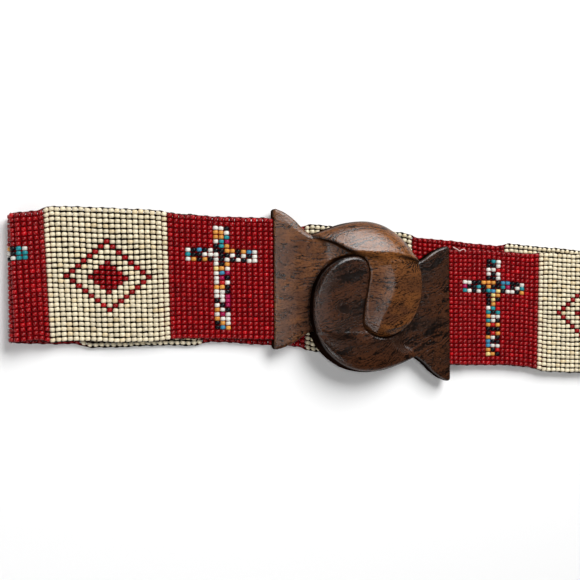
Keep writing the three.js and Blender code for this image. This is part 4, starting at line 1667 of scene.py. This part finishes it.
        plate = column(self._plate_outline(), plate_top, foot, plan.edge_round)
        head = column(np.vstack([self.lapped_step, self._head_seam()]), crown, head_foot, plan.seam_round)
        root = column(np.vstack([self.lapped_step, self._root_seam()]), crown, foot, plan.seam_round)
        arm = column(np.vstack([self.edge, self.step[::-1]]), crown, foot, plan.edge_round)
        body = np.minimum(round_join(np.minimum(plate, root), head, plan.fillet), arm)
        level = plan.plate_bottom + plan.plate_end_thickness / 2
        slot = np.maximum(np.maximum(
            (x + plan.plate_reach - plan.slot_depth)[:, :, None],
            (np.abs(y - self.slot_middle) - plan.slot_width / 2)[:, :, None]),
            (np.abs(z - level) - plan.slot_height / 2)[None, None, :])
        return self._skin(name, np.maximum(body, -slot), low)

    def _skin(self, name: str, distances: np.ndarray, low: np.ndarray) -> bpy.types.Mesh:
        """Returns the surface where a field is nothing."""
        reach = self.field_band * self.voxel
        grid = openvdb.FloatGrid(reach)
        grid.copyFromArray(np.clip(distances, -reach, reach).astype(np.float32))
        grid.transform = openvdb.createLinearTransform(voxelSize=self.voxel)
        points, quads = grid.convertToQuads()
        mesh = mesh_from(name, points + low, quads)
        if self._volume(mesh) < 0:
            mesh.flip_normals()
        return mesh

    def _mark_sides(self, mesh: bpy.types.Mesh) -> None:
        """Marks the upright walls, which the wood darkens as painted shade and leaves unwaxed."""
        facing = np.zeros(len(mesh.vertices) * 3)
        mesh.vertices.foreach_get("normal", facing)
        upright = 1 - smoothstep(np.abs(facing[2::3]), *self.upright_span)
        mark = mesh.attributes.new("side", "FLOAT", "POINT")
        mark.data.foreach_set("value", upright.astype(np.float32))

    def _mark_grooves(self, mesh: bpy.types.Mesh) -> None:
        """Marks painted crease shade near the seam and the sharp step, with the dark wax there."""
        plan = self.plan
        spots = np.zeros(len(mesh.vertices) * 3)
        mesh.vertices.foreach_get("co", spots)
        x, y, z = spots.reshape(-1, 3).T
        seam, _ = nearest_on_line(self.full_seam, x, y)
        step, share = nearest_on_line(self.step, x, y)
        blend = table_value(np.linspace(0, 1, len(plan.arm_across)), self.hand.step_blends, share)
        sharp = 1 - smoothstep(blend, *self.sharp_span)
        above = z > plan.plate_top - self.groove_depth
        # Painted shade that falls into the seam and the sharp step, with the dark wax there.
        crease_shade = np.maximum(np.exp(-(seam / self.groove_reach) ** 2),
                            sharp * np.exp(-(step / self.groove_reach) ** 2)) * above
        mark = mesh.attributes.new("crease_shade", "FLOAT", "POINT")
        mark.data.foreach_set("value", crease_shade.astype(np.float32))

    @staticmethod
    def _volume(mesh: bpy.types.Mesh) -> float:
        """Returns the volume inside a mesh, less than nothing when its faces look inwards."""
        mesh.calc_loop_triangles()
        corners = np.zeros(len(mesh.vertices) * 3)
        mesh.vertices.foreach_get("co", corners)
        triangles = np.zeros(len(mesh.loop_triangles) * 3, np.int32)
        mesh.loop_triangles.foreach_get("vertices", triangles)
        a, b, c = corners.reshape(-1, 3)[triangles.reshape(-1, 3)].transpose(1, 0, 2)
        return float((a * np.cross(b, c)).sum() / 6)


# Studio

@dataclass(frozen=True)
class Softbox:
    """One studio light with a soft rectangular face."""

    name: str
    place: tuple[float, float, float]
    width: float
    height: float
    power: float
    aim: tuple[float, float, float] = (0.0, 0.0, 0.0)

    def build(self) -> bpy.types.Object:
        """Hangs the light and turns it to what it lights."""
        light = bpy.data.lights.new(self.name, "AREA")
        light.shape = "RECTANGLE"
        light.size = self.width
        light.size_y = self.height
        light.energy = self.power
        lamp = bpy.data.objects.new(self.name, light)
        bpy.context.scene.collection.objects.link(lamp)
        lamp.location = self.place
        ray = Vector(self.aim) - Vector(self.place)
        lamp.rotation_euler = ray.to_track_quat("-Z", "Y").to_euler()
        return lamp


@dataclass(frozen=True)
class Studio:
    """Pale floor, soft lights and the camera of the photograph."""

    floor_size: float = 6.0
    floor_tone: float = 0.9
    floor_roughness: float = 0.9
    sky: float = 0.03
    target: tuple[float, float, float] = (-40.33 * MM, 4.07 * MM, 0.0)
    distance: float = 0.689
    swing: float = -0.3204
    nod: float = -0.0017
    roll: float = -0.0073
    focal_pixels: float = 1249.8
    picture_width: float = 580.0
    sensor: float = 36.0
    lights: tuple[Softbox, ...] = (
        Softbox("key", (0.37, 0.84, 0.92), 0.85, 0.85, 24.0),
        Softbox("overhead", (-0.17, 0.03, 1.0), 0.2, 0.3, 1.5),
        Softbox("kicker", (-0.34, -0.89, 0.56), 0.26, 0.16, 1.3),
        Softbox("side", (-0.84, -0.38, 0.72), 1.2, 0.12, 3.2),
    )

    def build(self) -> None:
        """Builds the floor, the world, the lights and the camera."""
        self._floor()
        self._world()
        for light in self.lights:
            light.build()
        self._camera()

    def _floor(self) -> None:
        """Lays a plain pale floor under the belt."""
        half = self.floor_size / 2
        corners = [(-half, -half, 0), (half, -half, 0), (half, half, 0), (-half, half, 0)]
        floor = new_object("studio_floor", mesh_from("studio_floor", corners, [(0, 1, 2, 3)]))
        material, desk, shader = new_material("studio_floor")
        desk.put(shader, "Base Color", (self.floor_tone, self.floor_tone, self.floor_tone, 1))
        desk.put(shader, "Roughness", self.floor_roughness)
        floor.data.materials.append(material)

    def _world(self) -> None:
        """Fills the room with even white light."""
        world = bpy.data.worlds.new("studio_room")
        world.use_nodes = True
        desk = NodeDesk(world.node_tree)
        sky = desk.add("ShaderNodeBackground")
        desk.put(sky, "Color", (1.0, 1.0, 1.0, 1))
        desk.put(sky, "Strength", self.sky)
        desk.put(desk.add("ShaderNodeOutputWorld", 1), "Surface", sky.outputs[0])
        bpy.context.scene.world = world

    def _camera(self) -> None:
        """Sets the camera where the photograph was taken from."""
        turn = (Matrix.Rotation(self.swing, 4, "Y") @ Matrix.Rotation(self.nod, 4, "X")
                @ Matrix.Rotation(self.roll, 4, "Z"))
        lens = bpy.data.cameras.new("photo_view")
        lens.sensor_width = self.sensor
        lens.lens = self.focal_pixels / self.picture_width * self.sensor
        lens.clip_start = 0.01
        camera = bpy.data.objects.new("photo_view", lens)
        bpy.context.scene.collection.objects.link(camera)
        back = turn @ Vector((0, 0, self.distance))
        camera.matrix_world = Matrix.Translation(Vector(self.target) + back) @ turn
        bpy.context.scene.camera = camera
        bpy.context.scene.view_settings.view_transform = "Standard"


def make_finishes(effects: SharedEffects) -> dict[str, bpy.types.Material]:
    """Returns every material of the belt by its plain name."""
    finishes = {
        "red": BeadGlass("ruby_glass", (0.25, 0.0012, 0.003), (0.37, 0.002, 0.005), odd_share=0.2,
                         spread=0.5, gloss=0.26, shine=0.32),
        "cream": BeadGlass("ivory_glass", (0.76, 0.67, 0.48), (0.74, 0.60, 0.37), odd_share=0.2,
                           spread=0.24, gloss=0.3),
        "accent": BeadGlass("mixed_glass", (0.5, 0.5, 0.5), (0.5, 0.5, 0.5), spread=0.25, gloss=0.22,
                            shine=0.2, by_bead=True),
        "left_wood": CarvedWood(
            "left_hook_wood", (0.007, 0.0035, 0.002), (0.078, 0.029, 0.013), (0.23, 0.080, 0.018),
            eye_place=(26 * MM, 8.5 * MM, 17 * MM), eye_size=5 * MM, eye_rings=5.0, eye_dark=0.3,
            glow_place=(17 * MM, 30 * MM, 15 * MM), glow_size=18 * MM, glow=0.9,
            seed=(0.0, 0.0, 0.0), warmth=0.5, flame=0.5, turn=-0.12),
        "right_wood": CarvedWood(
            "right_hook_wood", (0.003, 0.0015, 0.001), (0.028, 0.0125, 0.0075), (0.10, 0.030, 0.009),
            eye_place=(-16 * MM, -6 * MM, 18 * MM), eye_size=5 * MM, eye_rings=-3.0, eye_dark=1.0,
            glow_place=(0 * MM, -38 * MM, 10 * MM), glow_size=11 * MM, glow=0.8,
            seed=(0.31, 0.17, 0.05), warmth=0.4, flame=0.8, turn=-0.35),
        "elastic": Yarn("black_elastic", (0.006, 0.003, 0.002), 1.0, sheen=0.0, shine=0.1,
                        lit_colour=(0.12, 0.0015, 0.003)),
        "weft": Yarn("black_weft", (0.012, 0.004, 0.004), 0.9, sheen=0.0, shine=0.2),
        "thread": Yarn("pale_thread", (0.80, 0.62, 0.58), 0.7),
    }
    return {name: finish.material(effects) for name, finish in finishes.items()}


def main() -> None:
    """Builds the studio and the belt, in the order in which a maker would lay them out."""
    Studio().build()
    finishes = make_finishes(SharedEffects())
    weave = Weave()
    path = BandPath.from_frame(weave)
    plan = HookPlan.from_frame()
    ends = np.array([0.0, path.bead_travel])
    left_slot, right_slot = path.aside(ends)
    left = CarvedHook(plan, LEFT_HAND, left_slot, turned=False)
    left.build("left_hook", LEFT_HOOK_NODE, finishes["left_wood"])
    right = CarvedHook(plan, RIGHT_HAND, -right_slot, turned=True)
    right.build("right_hook", RIGHT_HOOK_NODE, finishes["right_wood"])
    BeadedBand(weave, path, Charts()).build(finishes)


if __name__ == "__main__":
    main()
